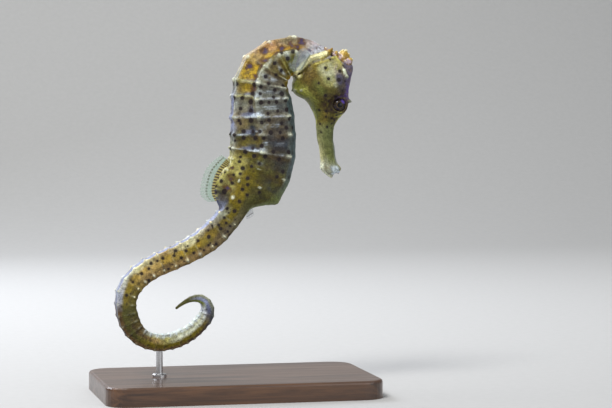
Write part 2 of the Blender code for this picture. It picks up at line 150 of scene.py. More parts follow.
def half_sections(ring):
    """Corners of the left half of the section at each ring, as [station, corner, (across, up)]."""
    back, belly, wide = (through(ring, GIRTH, c) for c in (1, 2, 3))
    tail, under = soft(ring, 9.8, 12.3), soft(ring, 10.6, 12.4)
    square = 0.86 * wide

    def pair(u, v):
        return np.stack([u, v], axis=-1)

    a = pair(mix(0.5 * wide, 0.26 * wide, tail), back)
    b = pair(mix(0.84 * wide, square, tail), through(ring, UPPER_TAIL_RIDGE) * back)
    c = pair(wide, through(ring, SIDE_RIDGE) * np.where(ring < 11, back, wide))
    d = pair(mix(0.74 * wide, square, under), -belly * mix(0.72, 1, under))
    top = pair(0 * wide, back - 0.45 * (1 - tail) - 0.04 * back * tail)
    keel = pair(0 * wide, -belly + 0.06 * belly * under)

    def between(p, q, out):
        m = (p + q) / 2
        return m * (1 + out / np.maximum(np.hypot(m[:, 0], m[:, 1]), 1e-6))[:, None]

    hollow = 0.12 * np.minimum(1.0, wide / 3)
    return np.stack([top, a, between(a, b, 0.02 - hollow), b,
                     between(b, c, 0.3 * (1 - tail) - hollow), c,
                     between(c, d, 0.75 * (1 - under) - hollow), d,
                     between(d, keel, 0.35 * (1 - under)), keel], axis=1)


print("sections:", CORNERS, "corners to a side, with depths at", len(GIRTH), "rings")

# %% [markdown]
# ## The head
# The head hangs down from a bent neck, with a long tube of a snout. Its sections fan out round the
# throat like the pages of a half-open book, each page an oval that is a little squarer than an
# ellipse. The first page lies on the nape, so head and body can be one and the same loft.

# %% Pages of the head
# (page, x and z of its middle, tilt of its upright line, half depth, half width, squareness)
HEAD = [(0, 20.1, 89.5, 56, 5.33, 4.7, 2.20),
        (1, 21.2, 87.9, 42, 6.47, 5.2, 2.20),
        (2, 22.6, 86.4, 33, 7.58, 5.7, 2.25),
        (3, 24.65, 84.35, 24, 8.72, 6.1, 2.30),
        (4, 25.05, 81.95, 19, 7.38, 6.3, 2.35),
        (5, 25.7, 79.95, 14, 5.85, 5.9, 2.35),
        (6, 26.3, 78.0, 11, 5.20, 5.1, 2.30),
        (7, 26.4, 76.1, 8, 4.45, 4.4, 2.25),
        (8, 26.0, 74.3, 3, 3.58, 3.6, 2.20),
        (9, 25.6, 72.9, 1, 2.84, 2.8, 2.10),
        (10, 25.2, 71.2, 0, 2.41, 2.3, 2.10),
        (11, 25.2, 68.5, 0, 2.19, 1.9, 2.10),
        (12, 25.7, 65.8, 0, 2.11, 1.8, 2.10),
        (13, 26.05, 63.2, 0, 2.13, 1.7, 2.10),
        (14, 26.35, 61.6, 1, 2.35, 1.8, 2.10),
        (15, 26.7, 60.4, 2, 2.82, 1.9, 2.10),
        (16, 27.35, 59.3, 12, 2.28, 1.6, 2.10),
        (17, 28.05, 58.25, 30, 1.28, 1.0, 2.10)]
MOUTH = 17                   # the last page


def rounded(wave, power):
    """A sine or cosine drawn out, so that an ellipse becomes a little squarer."""
    return np.sign(wave) * np.abs(wave) ** (2 / power)


def head_pages(page, angle):
    """Points on the head: page along it, angle from the crown towards the left side."""
    x, z, tilt, deep, wide, power = (through(page, HEAD, c) for c in range(1, 7))
    s, c = np.sin(angle), np.cos(angle)
    across, up = wide * rounded(s, power), deep * rounded(c, power)
    turn = np.radians(tilt)
    drawn_up = 0.8 * soft(page, MOUTH - 1, MOUTH) * s * s            # the corners of the mouth
    return np.stack([x + np.cos(turn) * up - np.sin(turn) * drawn_up, across,
                     z + np.sin(turn) * up + np.cos(turn) * drawn_up], axis=-1)


print("head:", len(HEAD), "pages from the nape to the lips")

# %% [markdown]
# ## One skin from lips to tail tip
# The work of a sculptor here would be a smooth base first, and relief after it. The base is a grid:
# stations run along the animal, and the same number of points runs round it at each one. The relief
# is then pushed out along the base's own normals, so every ridge and knob stands square on the body.

# %% The base grid
AROUND = 112                 # points round the body
HEAD_SPACING = 0.235         # mm between stations over the head
half = AROUND // 2

# stations over the head, evenly spaced along whichever outline is longer
pages = np.linspace(MOUTH, 0, 1701)
crown = head_pages(pages, np.zeros_like(pages))
throat = head_pages(pages, np.full_like(pages, math.pi))
gap = np.maximum(np.linalg.norm(np.diff(crown, axis=0), axis=1),
                 np.linalg.norm(np.diff(throat, axis=0), axis=1))
run = np.concatenate([[0], np.cumsum(gap)])
head_stations = np.interp(np.linspace(0, run[-1], int(run[-1] / HEAD_SPACING)), run, pages)

# stations over the body: more to a ring where the rings are long
body_stations = []
for k in range(LAST_RING):
    steps = 22 if k < 4 else 16 if k < 12 else 11
    body_stations += [k + j / steps for j in range(steps)]
body_stations = np.array(body_stations[1:] + [LAST_RING])

angles = 2 * math.pi * np.arange(AROUND) / AROUND
head_part = np.stack([head_pages(head_stations, np.full_like(head_stations, a)) for a in angles],
                     axis=1)

# the body's corners are joined by short straights, then rounded a little
corner_at = np.abs(((np.arange(AROUND) + half) % AROUND) - half) / half * (CORNERS - 1)
side_of = np.where(np.arange(AROUND) <= half, 1.0, -1.0)
corners = half_sections(body_stations)
low = np.minimum(corner_at.astype(int), CORNERS - 2)
share = (corner_at - low)[None, :, None]
outline = mix(corners[:, low], corners[:, low + 1], share)
outline[:, :, 0] *= side_of
for _ in range(3):
    outline = (np.roll(outline, 1, 1) + 2 * outline + np.roll(outline, -1, 1)) / 4
plump = np.minimum(1.0, through(body_stations, GIRTH, 3) / 3)
outline *= (1 - 0.05 * plump * soft(body_stations, 0.0, 3.0) - 0.015)[:, None, None]

# near the nape the corners melt into the oval of the first page
back, belly, wide = (through(body_stations, GIRTH, c) for c in (1, 2, 3))
middle, deep = (back - belly) / 2, (back + belly) / 2
oval = np.stack([wide[:, None] * rounded(np.sin(angles), 2.2),
                 middle[:, None] + deep[:, None] * rounded(np.cos(angles), 2.2)], axis=-1)
outline = mix(outline, oval, soft(body_stations, 1.1, 0.0)[:, None, None])
body_part = beside_spine(np.repeat(body_stations[:, None], AROUND, 1),
                         outline[:, :, 0], outline[:, :, 1])

base_grid = np.concatenate([head_part, body_part])
station_ring = np.concatenate([np.full(len(head_stations), -1.0), body_stations])
station_page = np.concatenate([head_stations, np.full(len(body_stations), -1.0)])
on_head = station_page >= 0
print("skin grid:", base_grid.shape[0], "stations of", AROUND, "points")

# %% [markdown]
# ## Relief: rings, ridges and knobs
# Each ring edge makes a low welt round the body, each ridge a keel along it, and a blunt knob stands
# where the two cross. All three are the same bell curve, used at different distances, so they melt
# into each other as they do under real skin. Some rings carry larger knobs than their neighbours.

# %% Smooth noise to break up anything too regular
def lattice_noise(points, cell, seed):
    """Smooth noise from -1 to 1 on a seeded lattice of the given cell size in mm."""
    values = np.random.default_rng(seed).uniform(-1, 1, (64, 64, 64))
    p = np.asarray(points) / cell + 1000.0
    low = np.floor(p).astype(int)
    t = p - low
    t = t * t * (3 - 2 * t)
    total = 0
    for dx in (0, 1):
        for dy in (0, 1):
            for dz in (0, 1):
                w = (np.where(dx, t[..., 0], 1 - t[..., 0]) * np.where(dy, t[..., 1], 1 - t[..., 1])
                     * np.where(dz, t[..., 2], 1 - t[..., 2]))
                total = total + w * values[(low[..., 0] + dx) % 64, (low[..., 1] + dy) % 64,
                                           (low[..., 2] + dz) % 64]
    return total


# %% Distances to rings and ridges
ring = station_ring[:, None]
corner = corner_at[None, :]
tail_share = soft(ring, 9.8, 12.3)
cut = ring - 0.55 * soft(ring, 10.4, 12.4)                   # the tail's rings start half a ring later
cut = cut + 0.24 * hump(ring - 4.8, 0.42) * soft(corner, 4.6, 3.4)    # one edge bends up on the back
nearest = np.round(cut)
local = np.array(ring_lengths)[np.clip(ring.astype(int), 0, LAST_RING - 1)]
from_edge = (cut - nearest) * local                        # mm from the nearest ring edge
size = np.minimum(1.0, through(ring[:, 0], GIRTH, 3) / 4.5)[:, None]
body = (ring > 0).astype(float) * soft(ring, 0.15, 0.8)
bold = np.where(np.isin(nearest, (1, 3, 4, 6, 8, 10, 13, 16, 19, 22)), 1.25, 0.85)

# (corner, strength along the body, height of its knobs in mm)
RIDGES = [(BACK_RIDGE, 1 - tail_share, 0.30), (TAIL_RIDGE, soft(ring, 9.9, 10.5), 0.42),
          (FLANK_RIDGE, (1 - tail_share) * (1 - 0.8 * (nearest == 10)), 0.40),
          (LOW_RIDGE, 1 - soft(ring, 9.2, 9.8), 0.42), (LOW_TAIL_RIDGE, 0.8 * soft(ring, 11.5, 12.6), 0.42)]

patchy = lattice_noise(base_grid, 2.4, 7)                   # breaks the welts into lengths
relief = 0.17 * size * hump(from_edge, 0.14 + 0.24 * size) * (1 - 0.5 * soft(corner, 7.4, 8.4))
faded = soft(ring, 7.9, 8.8) * soft(ring, 13.0, 11.8)       # the rings sink in on the lower belly
relief = relief * soft(patchy, -1.0, 0.1) * (1 - 0.65 * faded)
relief -= 0.10 * size * soft(np.abs(from_edge), 0.5 * size, 1.6 * size)
knobs = np.zeros_like(relief)
for at, strength, tall in RIDGES:
    knob = hump(corner - at, 0.42) * hump(from_edge, 0.16 + 0.36 * size)
    relief += strength * size * 0.20 * hump(corner - at, 0.36)
    knobs = np.maximum(knobs, strength * knob * np.minimum(1, bold) * (1 - 0.6 * soft(ring, 21, 25)))
    relief += strength * size**0.8 * tall * bold * knob * (1 - 0.45 * soft(ring, 21, 25))
for at, corner_no, wide_mm in ((10.19, 2.73, 0.60), (9.9, 5.6, 0.35)):      # two that stand alone
    lone = hump((ring - at) * local, wide_mm) * hump(corner - corner_no, 0.22)
    relief, knobs = relief + 0.4 * lone, np.maximum(knobs, lone)
relief = relief * body * soft(ring, 47.2, 45.0)

# the fleshy foot of the back fin
fin_foot = soft(ring, 9.2, 10.9) * soft(ring, 12.4, 11.6) * hump(corner, 0.95)
relief += 1.6 * fin_foot
print("tallest knob in mm:", round(float(relief.max()), 2))

# %% [markdown]
# ## Relief of the head
# The head has no rings. It has a smooth plate over the gills with a rim above it, a strong collar
# bone behind it, short spines on cheek and brow, and turrets that carry the eyes. They are placed by
# where they sit in the side view, and the same relief is made on both sides at once.

# %% Places on the head, as (x, z) in the side view
EYE_AT, EYE_OUT, EYE_RADIUS = (28.13, 77.4), 3.1, 2.0
COLLAR_BONE = [(17.2, 85.2), (16.6, 86.2), (17.9, 87.6), (19.2, 88.9), (20.4, 89.9), (22.3, 90.4),
               (24.4, 91.1)]
FLAP = [(25.3, 91.2), (26.8, 92.3)]
BROW = [(23.0, 89.7), (25.4, 91.0), (27.2, 92.6)]
GILL_RIM = [(21.2, 88.3), (24.3, 89.0), (27.2, 90.1), (28.6, 87.6), (29.8, 84.9)]
GILL_PLATE = [(22.9, 84.9), (25.6, 85.6)]
SPINES = [((16.6, 81.3), 0.50, 0.42), ((17.9, 81.3), 0.36, 0.34), ((29.9, 84.9), 0.50, 0.42),
          ((29.3, 86.7), 0.35, 0.32), ((30.9, 78.5), 1.10, 0.50)]
GILL_PORE = (21.0, 89.4)
side_x, side_y, side_z = base_grid[:, :, 0], np.abs(base_grid[:, :, 1]), base_grid[:, :, 2]


def from_line(line):
    """Distance in the side view to a bent line."""
    best = np.full(side_x.shape, 1e9)
    for (ax, az), (bx, bz) in zip(line[:-1], line[1:]):
        ux, uz, x, z = bx - ax, bz - az, side_x - ax, side_z - az
        t = np.clip((x * ux + z * uz) / (ux**2 + uz**2), 0, 1)
        best = np.minimum(best, np.hypot(x - t * ux, z - t * uz))
    return best


def from_place(place):
    return np.hypot(side_x - place[0], side_z - place[1])


def uneven(seed):
    """Noise that makes a rim come and go along its length."""
    return soft(lattice_noise(base_grid, 0.9, seed), -0.4, 0.4)


page_at = station_page[:, None] * np.ones_like(side_x)
near_head = ((station_page >= 0) | (station_ring < 1.2))[:, None] * np.ones_like(side_x)
flank = soft(side_y, 1.2, 2.6) * near_head
on_snout = soft(page_at, 8.6, 10.2)
collar, flap, rim, brow = (hump(from_line(line), width) * flank for line, width in (
    (COLLAR_BONE, 0.54), (FLAP, 0.62), (GILL_RIM, 0.44), (BROW, 0.50)))
rim = rim * (0.55 + 0.75 * uneven(17))
relief += 0.40 * brow * (0.6 + 0.7 * uneven(18))
plate_share = soft(from_line(GILL_PLATE), 4.3, 3.1) * flank
relief = relief + 0.72 * collar + 0.40 * rim + 0.30 * plate_share + 0.95 * flap
relief -= 0.55 * hump(from_place(GILL_PORE), 0.62) * flank
for place, tall, wide_mm in SPINES:
    relief += tall * hump(from_place(place), wide_mm) * soft(side_y, 0.6, 1.2) * near_head
# the ridge that runs from the crown to the eye, and a low line along the snout
relief += 0.16 * hump(corner - 1.6, 0.5) * soft(page_at, 2.2, 3.2) * soft(page_at, 9, 7.5)
relief += 0.10 * hump(corner - 4.2, 0.8) * on_snout * soft(page_at, 15.5, 13.5)
print("collar bone and gill rim carved")

# %% [markdown]
# ## Pushing the relief out, and turning the eye sockets
# The normals come from the grid itself: the cross product of the way along and the way round. The
# socket of each eye is not relief but a target shape: a soft raised lid with the eyeball in it.

# %% Normals and the finished skin points
def grid_normals(grid):
    along = np.gradient(grid, axis=0)
    round_body = np.roll(grid, -1, 1) - np.roll(grid, 1, 1)
    n = np.cross(round_body, along)
    n /= np.maximum(np.linalg.norm(n, axis=2, keepdims=True), 1e-9)
    out = grid - grid.mean(axis=1, keepdims=True)
    return n * np.sign((n * out).sum(axis=2).mean())


grain = 0.055 * lattice_noise(base_grid, 0.8, 3) + 0.06 * lattice_noise(base_grid, 2.2, 4)
relief = relief + grain * np.where(page_at >= 0, 1.0, size)
skin_grid = base_grid + grid_normals(base_grid) * relief[..., None]

eye_gap = np.hypot(skin_grid[:, :, 0] - EYE_AT[0], skin_grid[:, :, 2] - EYE_AT[1])
ball = EYE_OUT + np.sqrt(np.maximum(EYE_RADIUS**2 - eye_gap**2, 0))
lid = 4.10 + 0.26 * hump(eye_gap - 2.12, 0.34) - 0.05 * soft(eye_gap, 2.3, 3.4)
socket = np.where(eye_gap < 1.72, ball - 0.35, np.maximum(lid, ball + 0.02))
socket = mix(ball - 0.45, socket, soft(eye_gap, 1.45, 1.75))
turn_in = soft(eye_gap, 3.3, 2.2) * (page_at > 3.5) * (page_at < 10)
skin_y = skin_grid[:, :, 1]
turned_y = np.sign(skin_y) * mix(np.abs(skin_y), socket, turn_in)
skin_grid[:, :, 1] = np.where(turn_in > 0, turned_y, skin_y)
print("eye sockets turned at x, z =", EYE_AT)

# %% [markdown]
# ## A painter's box
# The colours are few, with names, and they are laid on as a model painter would: broad washes first,
# then ring by ring shading, then ridges picked out in cream, and dark dots last. Each wash is a mask
# between 0 and 1 over the skin, and noise roughens the masks, so that no edge is ruled.

# %% Tints and washes
TINTS = {"cream": (222, 212, 168), "ivory": (214, 214, 198), "lilac": (176, 178, 198),
         "mauve": (168, 150, 158), "sand": (170, 140, 88), "gold": (184, 148, 34), "ochre": (140, 104, 28),
         "honey": (136, 114, 40), "olive": (108, 94, 42), "deep_olive": (74, 70, 32),
         "moss": (98, 104, 52), "taupe": (96, 86, 68), "stone": (146, 146, 130), "slate": (78, 92, 98),
         "umber": (52, 36, 28), "plum": (62, 58, 92), "rust": (78, 50, 22), "lemon": (196, 196, 96),
         "dusk": (96, 100, 128), "violet": (96, 72, 150), "bronze": (104, 90, 20), "night": (48, 52, 62),
         "pearl": (196, 204, 222), "tan": (136, 110, 70), "pear": (150, 144, 96), "soil": (84, 62, 36),
         "straw": (170, 160, 92), "fawn": (128, 112, 84), "foam": (160, 184, 168),
         "shell": (160, 144, 124), "haze": (126, 130, 164), "ash": (116, 116, 110), "ink": (72, 74, 100),
         "grape": (58, 50, 84), "salmon": (180, 132, 82)}


def linear(tint):
    c = np.array(TINTS[tint]) / 255
    return np.where(c < 0.04045, c / 12.92, ((c + 0.055) / 1.055) ** 2.4)


cloud = lattice_noise(base_grid, 3.1, 11)
fleck = lattice_noise(base_grid, 1.1, 12)
speck = lattice_noise(base_grid, 0.55, 13)
rough_ring = ring + 0.14 * cloud + 0.07 * fleck
rough_corner = corner + 0.35 * cloud + 0.22 * fleck
fraction = np.mod(cut, 1) * np.ones_like(side_x)
paint = np.ones(base_grid.shape) * linear("taupe")


def lay(colour, mask):
    """Lay colour over the skin where the mask is 1."""
    paint[:] = paint + (colour - paint) * mask[..., None]


def wash(mask, tint, strength=1.0):
    lay(linear(tint), np.clip(mask * strength, 0, 1))


def band(x, low, high, edge):
    return soft(x, low - edge, low + edge) * soft(x, high + edge, high - edge)


def across(low, high, edge=0.3):
    """A band between two corners, with a rough edge."""
    return band(rough_corner, low, high, edge)


def along(low, high, edge=0.3):
    """A band between two rings."""
    return band(ring, low, high, edge)


def lane(low, high, edge, stops):
    """Paint a lane between two corners; its stops name a ring and the tint there."""
    rings, tints = zip(*(stop.split() for stop in stops.split(", ")))
    tints = np.stack([linear(tint) for tint in tints])
    rings = [float(at) for at in rings]
    colour = np.stack([np.interp(rough_ring, rings, tints[:, k]) for k in range(3)], axis=-1)
    lay(colour, across(low, high, edge) * (ring > 0))


print("tints:", ", ".join(TINTS))

# %% [markdown]
# ## Washes on the body
# On the real animal the neck is orange brown above its cream flank ridge, the trunk is olive above
# and grey below, and the tail is gold and ivory, and all of it is cut up by paler ring lines.

# %% Lanes from back to belly
lane(-2, 0.9, 0.3,
     "0 pearl, 0.8 fawn, 1.3 fawn, 2 sand, 3 shell, 4 stone, 5 haze, 6.5 haze, 7.5 stone, 8.4 pear, "
     "9.2 cream, 10.3 cream, 10.8 bronze, 11.2 ink, 11.8 ink, 12.6 haze, 22 haze, 25 dusk, 28 umber, "
     "36 umber, 39 night, 41 stone, 44 deep_olive")
lane(0.9, 2.7, 0.5,
     "0 mauve, 0.9 fawn, 1.4 fawn, 2.1 salmon, 2.8 sand, 3.7 honey, 4.3 bronze, 5.2 ash, 6.2 fawn, "
     "7 deep_olive, 8 olive, 9.2 straw, 10.6 straw, 11.3 deep_olive, 12.2 haze, 21 haze, 22.8 lilac, "
     "24.4 soil, 36 umber, 39 night, 41 stone, 44 deep_olive")
lane(2.7, 4.7, 0.5,
     "0 fawn, 0.8 ochre, 2.4 ochre, 3.2 soil, 4 bronze, 4.6 bronze, 5.4 ink, 6.5 night, 7.4 night, "
     "8.4 deep_olive, 9.5 bronze, 11.6 bronze, 12.4 stone, 14 shell, 16 cream, 18 sand, 20.5 cream, "
     "22.8 lilac, 24.2 soil, 31 soil, 36 umber, 38.5 night, 41 stone, 44 deep_olive")
lane(3.9, 5.6, 0.4,
     "0 olive, 3 olive, 4.2 ash, 5.5 ash, 7 taupe, 8.5 deep_olive, 10.3 bronze, 12 bronze, 14 olive, "
     "16 honey, 20 sand, 22 honey, 24 deep_olive, 27 deep_olive, 29 bronze, 35 bronze, 37 olive, "
     "39 ink, 41 haze, 44 deep_olive")
lane(5.4, 7.2, 0.5,
     "0 ivory, 1 moss, 2 bronze, 3.5 taupe, 4.3 ash, 5.4 ash, 6.5 taupe, 7.5 night, 8.6 deep_olive, "
     "11 deep_olive, 13 taupe, 15.5 tan, 20 tan, 22 olive, 24 deep_olive, 28 soil, 29.6 sand, 31 straw, "
     "33 ivory, 37 ivory, 39 lilac, 41 moss, 44 deep_olive")
lane(7.2, 11, 0.4,
     "0 gold, 1.8 gold, 3.5 honey, 5 slate, 8.5 slate, 10 moss, 11.5 moss, 14 moss, 17 olive, 24 moss, "
     "27 fawn, 28.8 pearl, 31 pearl, 37 ivory, 39 lilac, 42 lilac, 44 moss")
inner = soft(corner + 0.25 * fleck, 5.7, 6.4) * along(27.8, 38.5, 1.0)
wash(inner, "pear", 0.8)
wash(inner * soft(corner + 0.25 * fleck, 6.0, 6.8), "pearl", 0.5)
print("mean colour of the lanes:", paint.mean(axis=(0, 1)).round(3))

# %% Ring by ring shading, with painted shade just behind each ring edge
trunk = along(3.9, 10.4, 0.4)
upper = across(1.9, 4.8, 0.35)
lower = across(5.2, 7.0)
shown = 1 - faded
ring_line = hump(from_edge + 0.16 * fleck + 0.12 * cloud, 0.11 + 0.12 * size) * body
broken = soft(fleck + 0.8 * speck + patchy, -0.7, 0.4)
last_line = hump(ring - 8.0, 0.35) * (soft(fleck + cloud, 0.5, -0.4) + hump(corner - 5.0, 0.45))
ring_line = ring_line * (1 - 0.8 * np.clip(last_line, 0, 1))
greyer = hump(ring - 5.7, 0.9)
wash(trunk * upper * band(fraction + 0.07 * fleck, 0.06, 0.52, 0.10) * soft(cloud, -0.9, 0.1)
     * (1 - 0.6 * greyer), "bronze", 0.7)
# deep olive and soil just behind each ring edge on the upper trunk are painted shade below the welts
wash(trunk * upper * band(fraction + 0.09 * fleck, 0.06, 0.36, 0.10) * soft(cloud + patchy, -0.5, 0.5),
     "deep_olive", 0.6)
wash(trunk * upper * band(fraction + 0.07 * fleck, 0.04, 0.14, 0.05) * shown, "soil", 0.5)
wash(trunk * upper * soft(fraction + 0.05 * fleck, 0.66, 0.82) * soft(patchy, -0.7, 0.2) * shown,
     "dusk", 0.8)
# soil just behind each ring edge on the lower trunk is painted shade beside the welts
wash(trunk * lower * hump(from_edge - 0.5, 1.0) * soft(fleck + cloud, 0.8, -0.6), "soil", 0.5)
strands = hump(fraction - 0.44 - 0.03 * fleck, 0.040) + 0.6 * hump(fraction - 0.55 - 0.05 * cloud, 0.030)
wash(along(4.1, 7.9, 0.2) * strands * across(5.2, 6.5) * broken, "pearl", 0.8)
# pale ring lines on the upper trunk: the animal's own pale lines, with a painted highlight along each welt
wash(trunk * across(1.2, 4.9) * ring_line * broken * shown, "pearl", 0.8)
wash(along(3.5, 5.3, 0.2) * across(0.9, 4.4, 0.4) * ring_line, "straw", 0.75)
wash(band(ring + 0.05 * fleck, 4.15, 4.6, 0.08) * across(1.1, 3.6)
     * soft(fleck + 0.5 * cloud, -0.6, 0.2), "gold", 0.35)
wash(trunk * across(3.4, 4.9) * band(fraction + 0.08 * fleck, 0.80, 0.99, 0.05)
     * soft(speck + patchy, -0.2, 0.5) * shown, "pearl", 0.8)
wash(trunk * across(4.9, 7.2) * ring_line * broken * shown, "lilac", 0.65)
wash(trunk * band(corner, 5.9, 7.0, 0.35) * soft(np.abs(from_edge), 0.7, 1.5) * soft(fleck, -0.8, 0.2),
     "night", 0.6)
wash(along(0.8, 4.2) * across(5, 9.5, 0.4) * ring_line * broken, "pear", 0.5)
wash(along(1.4, 3.9) * across(4.9, 6.7) * hump(fraction - 0.5 - 0.06 * fleck, 0.15)
     * soft(fleck, -0.8, 0.4), "pearl", 0.5)
# soil just behind each ring edge on the lower neck is painted shade below the welts
wash(along(1.4, 3.9) * across(5.0, 6.9) * hump(fraction - 0.16, 0.09), "soil", 0.45)
wash(along(11.5, 23, 0.5) * ring_line * (0.5 + 0.5 * fleck), "stone", 0.3)
wash(along(23, 47, 0.5) * ring_line * (0.5 + 0.5 * fleck), "pear", 0.12)
wash(along(9.0, 13, 0.8) * across(1.2, 4.9, 0.4) * soft(cloud + 0.6 * fleck, 0.1, 0.8),
     "honey", 0.3)
wash(along(12, 47, 0.5) * soft(cloud + 0.7 * fleck, 0.2, 0.9) * band(corner, 3.4, 8.5, 0.6),
     "umber", 0.35)
# the neck: gold, bright in the hollow of each ring, brown round it
neck = along(0.7, 4.2) * across(1.0, 4.2, 0.35)
wash(neck * soft(cloud + 0.7 * speck, 0.0, -0.7), "soil", 0.6)
wash(neck * band(fraction + 0.12 * fleck, 0.25, 0.75, 0.12) * soft(patchy + 0.5 * cloud, 0.1, 0.6)
     * soft(rough_corner, 2.0, 3.0), "gold", 0.7)
wash(band(ring + 0.08 * fleck, 3.15, 3.85, 0.1) * across(1.1, 3.6)
     * soft(fleck + 0.5 * speck, -0.8, 0.0), "gold", 0.8)
wash(neck * soft(rough_corner, 2.2, 1.2) * soft(fleck, 0.0, 0.6), "mauve", 0.6)

# %% Ridges and knobs picked out in cream
flank_line = hump(corner - FLANK_RIDGE, 0.26)
wash(flank_line * along(0.5, 4.3, 0.5) * soft(fleck, -0.9, 0.5), "ivory", 0.7)
wash(flank_line * along(4.3, 8.6) * soft(fraction + 0.2 * fleck, 0.45, 0.8) * broken,
     "pearl", 0.75)
wash(hump(corner - BACK_RIDGE, 0.40) * along(3.8, 8.6, 0.5) * soft(fleck, -0.8, 0.3), "pearl", 0.18)
wash(hump(corner - 2.6, 0.4) * along(12.4, 23, 0.6) * soft(fleck, -0.9, 0.1), "pearl", 0.38)
wash(across(4.0, 5.4) * along(14, 21, 0.8) * soft(cloud + fleck, -0.2, 0.6), "gold", 0.35)
beads = soft(corner, 6.0, 6.8) * along(27, 38.5, 0.8)
wash(beads * soft(np.abs(from_edge) / size, 0.9, 0.3), "pearl", 0.55)
wash(along(22.5, 38, 0.7) * across(3.8, 6.2, 0.6) * soft(fleck + 0.4 * speck, 0.2, 1.1), "soil", 0.35)
wash(hump(ring - 11.5, 0.45) * across(0.8, 2.9), "night", 0.5)
foot_edge = along(9.5, 11.8, 0.2) * soft(rough_corner, 1.3, 0.7)
wash(foot_edge * soft(speck + 0.4 * fleck, 0.0, 0.5), "straw", 0.8)
wash(foot_edge * soft(speck - 0.4 * fleck, -0.1, -0.5), "umber", 0.6)
wash(soft(knobs + 0.25 * fleck, 0.5, 0.95) * (1 - 0.5 * trunk * soft(corner, 1.5, 0.7)), "ivory", 0.85)
print("mean colour with rings and ridges:", paint.mean(axis=(0, 1)).round(3))

# %% Dry brushing: painted shade in the hollows, painted highlight on raised places
def around_mean(values, reach):
    """Mean of a grid over a square of neighbours."""
    total = np.zeros_like(values)
    for di in range(-reach, reach + 1):
        for dj in range(-reach, reach + 1):
            total = total + np.roll(np.roll(values, di, 0), dj, 1)
    return total / (2 * reach + 1) ** 2


proud = relief - around_mean(relief, 4)
# umber in the hollows of the relief is painted shade
wash(soft(-proud, 0.015, 0.12), "umber", 0.5)
# ivory on the raised places is a painted highlight
wash(soft(proud, 0.05, 0.22) * soft(fleck, -0.9, 0.3) * shown, "ivory", 0.25)
print("body washed in", len(TINTS), "tints")

# %% [markdown]
# ## Washes on the head
# The cheek is pale with a yellow rim, the crown is mauve, the eyes sit in a dark mottled mask, and the
# snout fades from olive to a pinkish grey mouth.

# %% Zones placed by where they lie in the side view
wobble = 0.45 * cloud + 0.25 * fleck
head_only = ((page_at >= 0) | (ring < 0.9)).astype(float) * soft(ring, 1.1, 0.1)


def zone(points, radius, edge):
    """A soft mask round a bent line in the side view, on both sides of the head."""
    return soft(from_line(points) + wobble, radius + edge, radius - edge) * head_only


def on_pages(low, high, edge):
    """A band between two pages of the head."""
    return is_head * band(page_at, low, high, edge)


is_head = (page_at >= 0).astype(float)
wash(is_head, "olive")
wash(is_head * soft(cloud + 0.5 * fleck, 0.3, -0.5), "bronze", 0.6)
wash(is_head * soft(rough_corner, 5.6, 8.4) * soft(page_at, 9.5, 7.5), "moss", 0.8)
wash(is_head * soft(rough_corner, 7.8, 9.0) * (page_at < 10), "lemon", 0.4)
wash(zone([(19.5, 85.0), (20.5, 83.2)], 2.2, 1.2), "soil", 0.55)
wash(zone([(20.0, 80.5), (24.5, 79.5)], 2.4, 1.6), "deep_olive", 0.65)
wash(zone([(24.9, 87.1), (25.4, 84.6)], 2.8, 0.7), "pear", 0.75)
wash(zone([(24.2, 87.2), (25.2, 85.0)], 1.4, 1.1) * soft(fleck, -0.6, 0.4), "ivory", 0.4)
wash(zone([(24.9, 87.1), (25.4, 84.6)], 2.7, 0.6) * soft(speck + cloud, 0.1, 0.8), "moss", 0.45)
wash(zone([(27.3, 87.0), (27.7, 83.9)], 0.9, 0.8) * soft(speck + fleck, -0.6, 0.5), "mauve", 0.5)
wash(zone([(27.5, 84.8), (27.7, 83.6)], 0.8, 0.6), "plum", 0.75)
wash(zone([(26.3, 83.0), (26.6, 82.4)], 0.4, 0.4), "ivory", 0.5)
wash(zone([(21.5, 80.9), (28.0, 80.9)], 1.3, 1.0) * soft(cloud, -0.9, 0.2), "deep_olive", 0.55)
wash(zone([(23.0, 81.0), (21.6, 83.4)], 0.8, 1.0), "moss", 0.6)
wash(is_head * soft(rough_corner, 3.0, 1.9) * soft(page_at, 6.6, 5.0), "mauve", 0.55)
wash(on_pages(1.4, 5.2, 0.6) * soft(rough_corner, 3.1, 2.2), "plum", 0.72)
wash(is_head * soft(rough_corner, 3.2, 2.0) * soft(page_at, 6.6, 5.0) * soft(fleck + speck, 0.2, 0.9),
     "tan", 0.7)
wash(zone([(28.2, 84.5), (28.8, 81.5)], 1.3, 1.0), "plum", 0.5)
wash(zone([(25.4, 78.0), (29.2, 79.2)], 2.5, 1.3) * soft(speck, -0.9, 0.2), "umber", 0.85)
cheekward = soft(rough_corner, 0.8, 1.5)
# violet speckles on the forehead beside the eye are a painted violet highlight
wash(on_pages(3.6, 6.8, 0.6) * across(1.2, 2.4, 0.4) * soft(speck, -0.7, 0.3), "violet", 0.4)
wash(on_pages(6.4, 8.5, 0.5) * across(0.8, 3.9, 0.6) * soft(speck, -0.4, 0.5), "umber", 0.75)
wash(on_pages(2.5, 5.5, 0.7) * across(6.5, 8.0, 0.4), "lemon", 0.3)
# a painted violet highlight on the lid above and in front of the eye
wash(zone([(27.4, 79.3), (29.6, 79.4), (30.8, 80.2), (30.6, 81.6)], 0.7, 0.7) * soft(speck, -0.6, 0.4)
     * (0.15 + 0.85 * cheekward), "violet", 0.85)
wash(zone([(25.2, 77.8), (26.0, 75.2), (27.0, 73.6)], 1.4, 0.8) * soft(speck + 0.4 * fleck, -0.2, 0.4),
     "umber", 0.8)
wash(on_pages(6.3, 9.6, 0.6) * across(1.6, 5.0, 0.7) * soft(cloud, -0.8, 0.3),
     "deep_olive", 0.75)
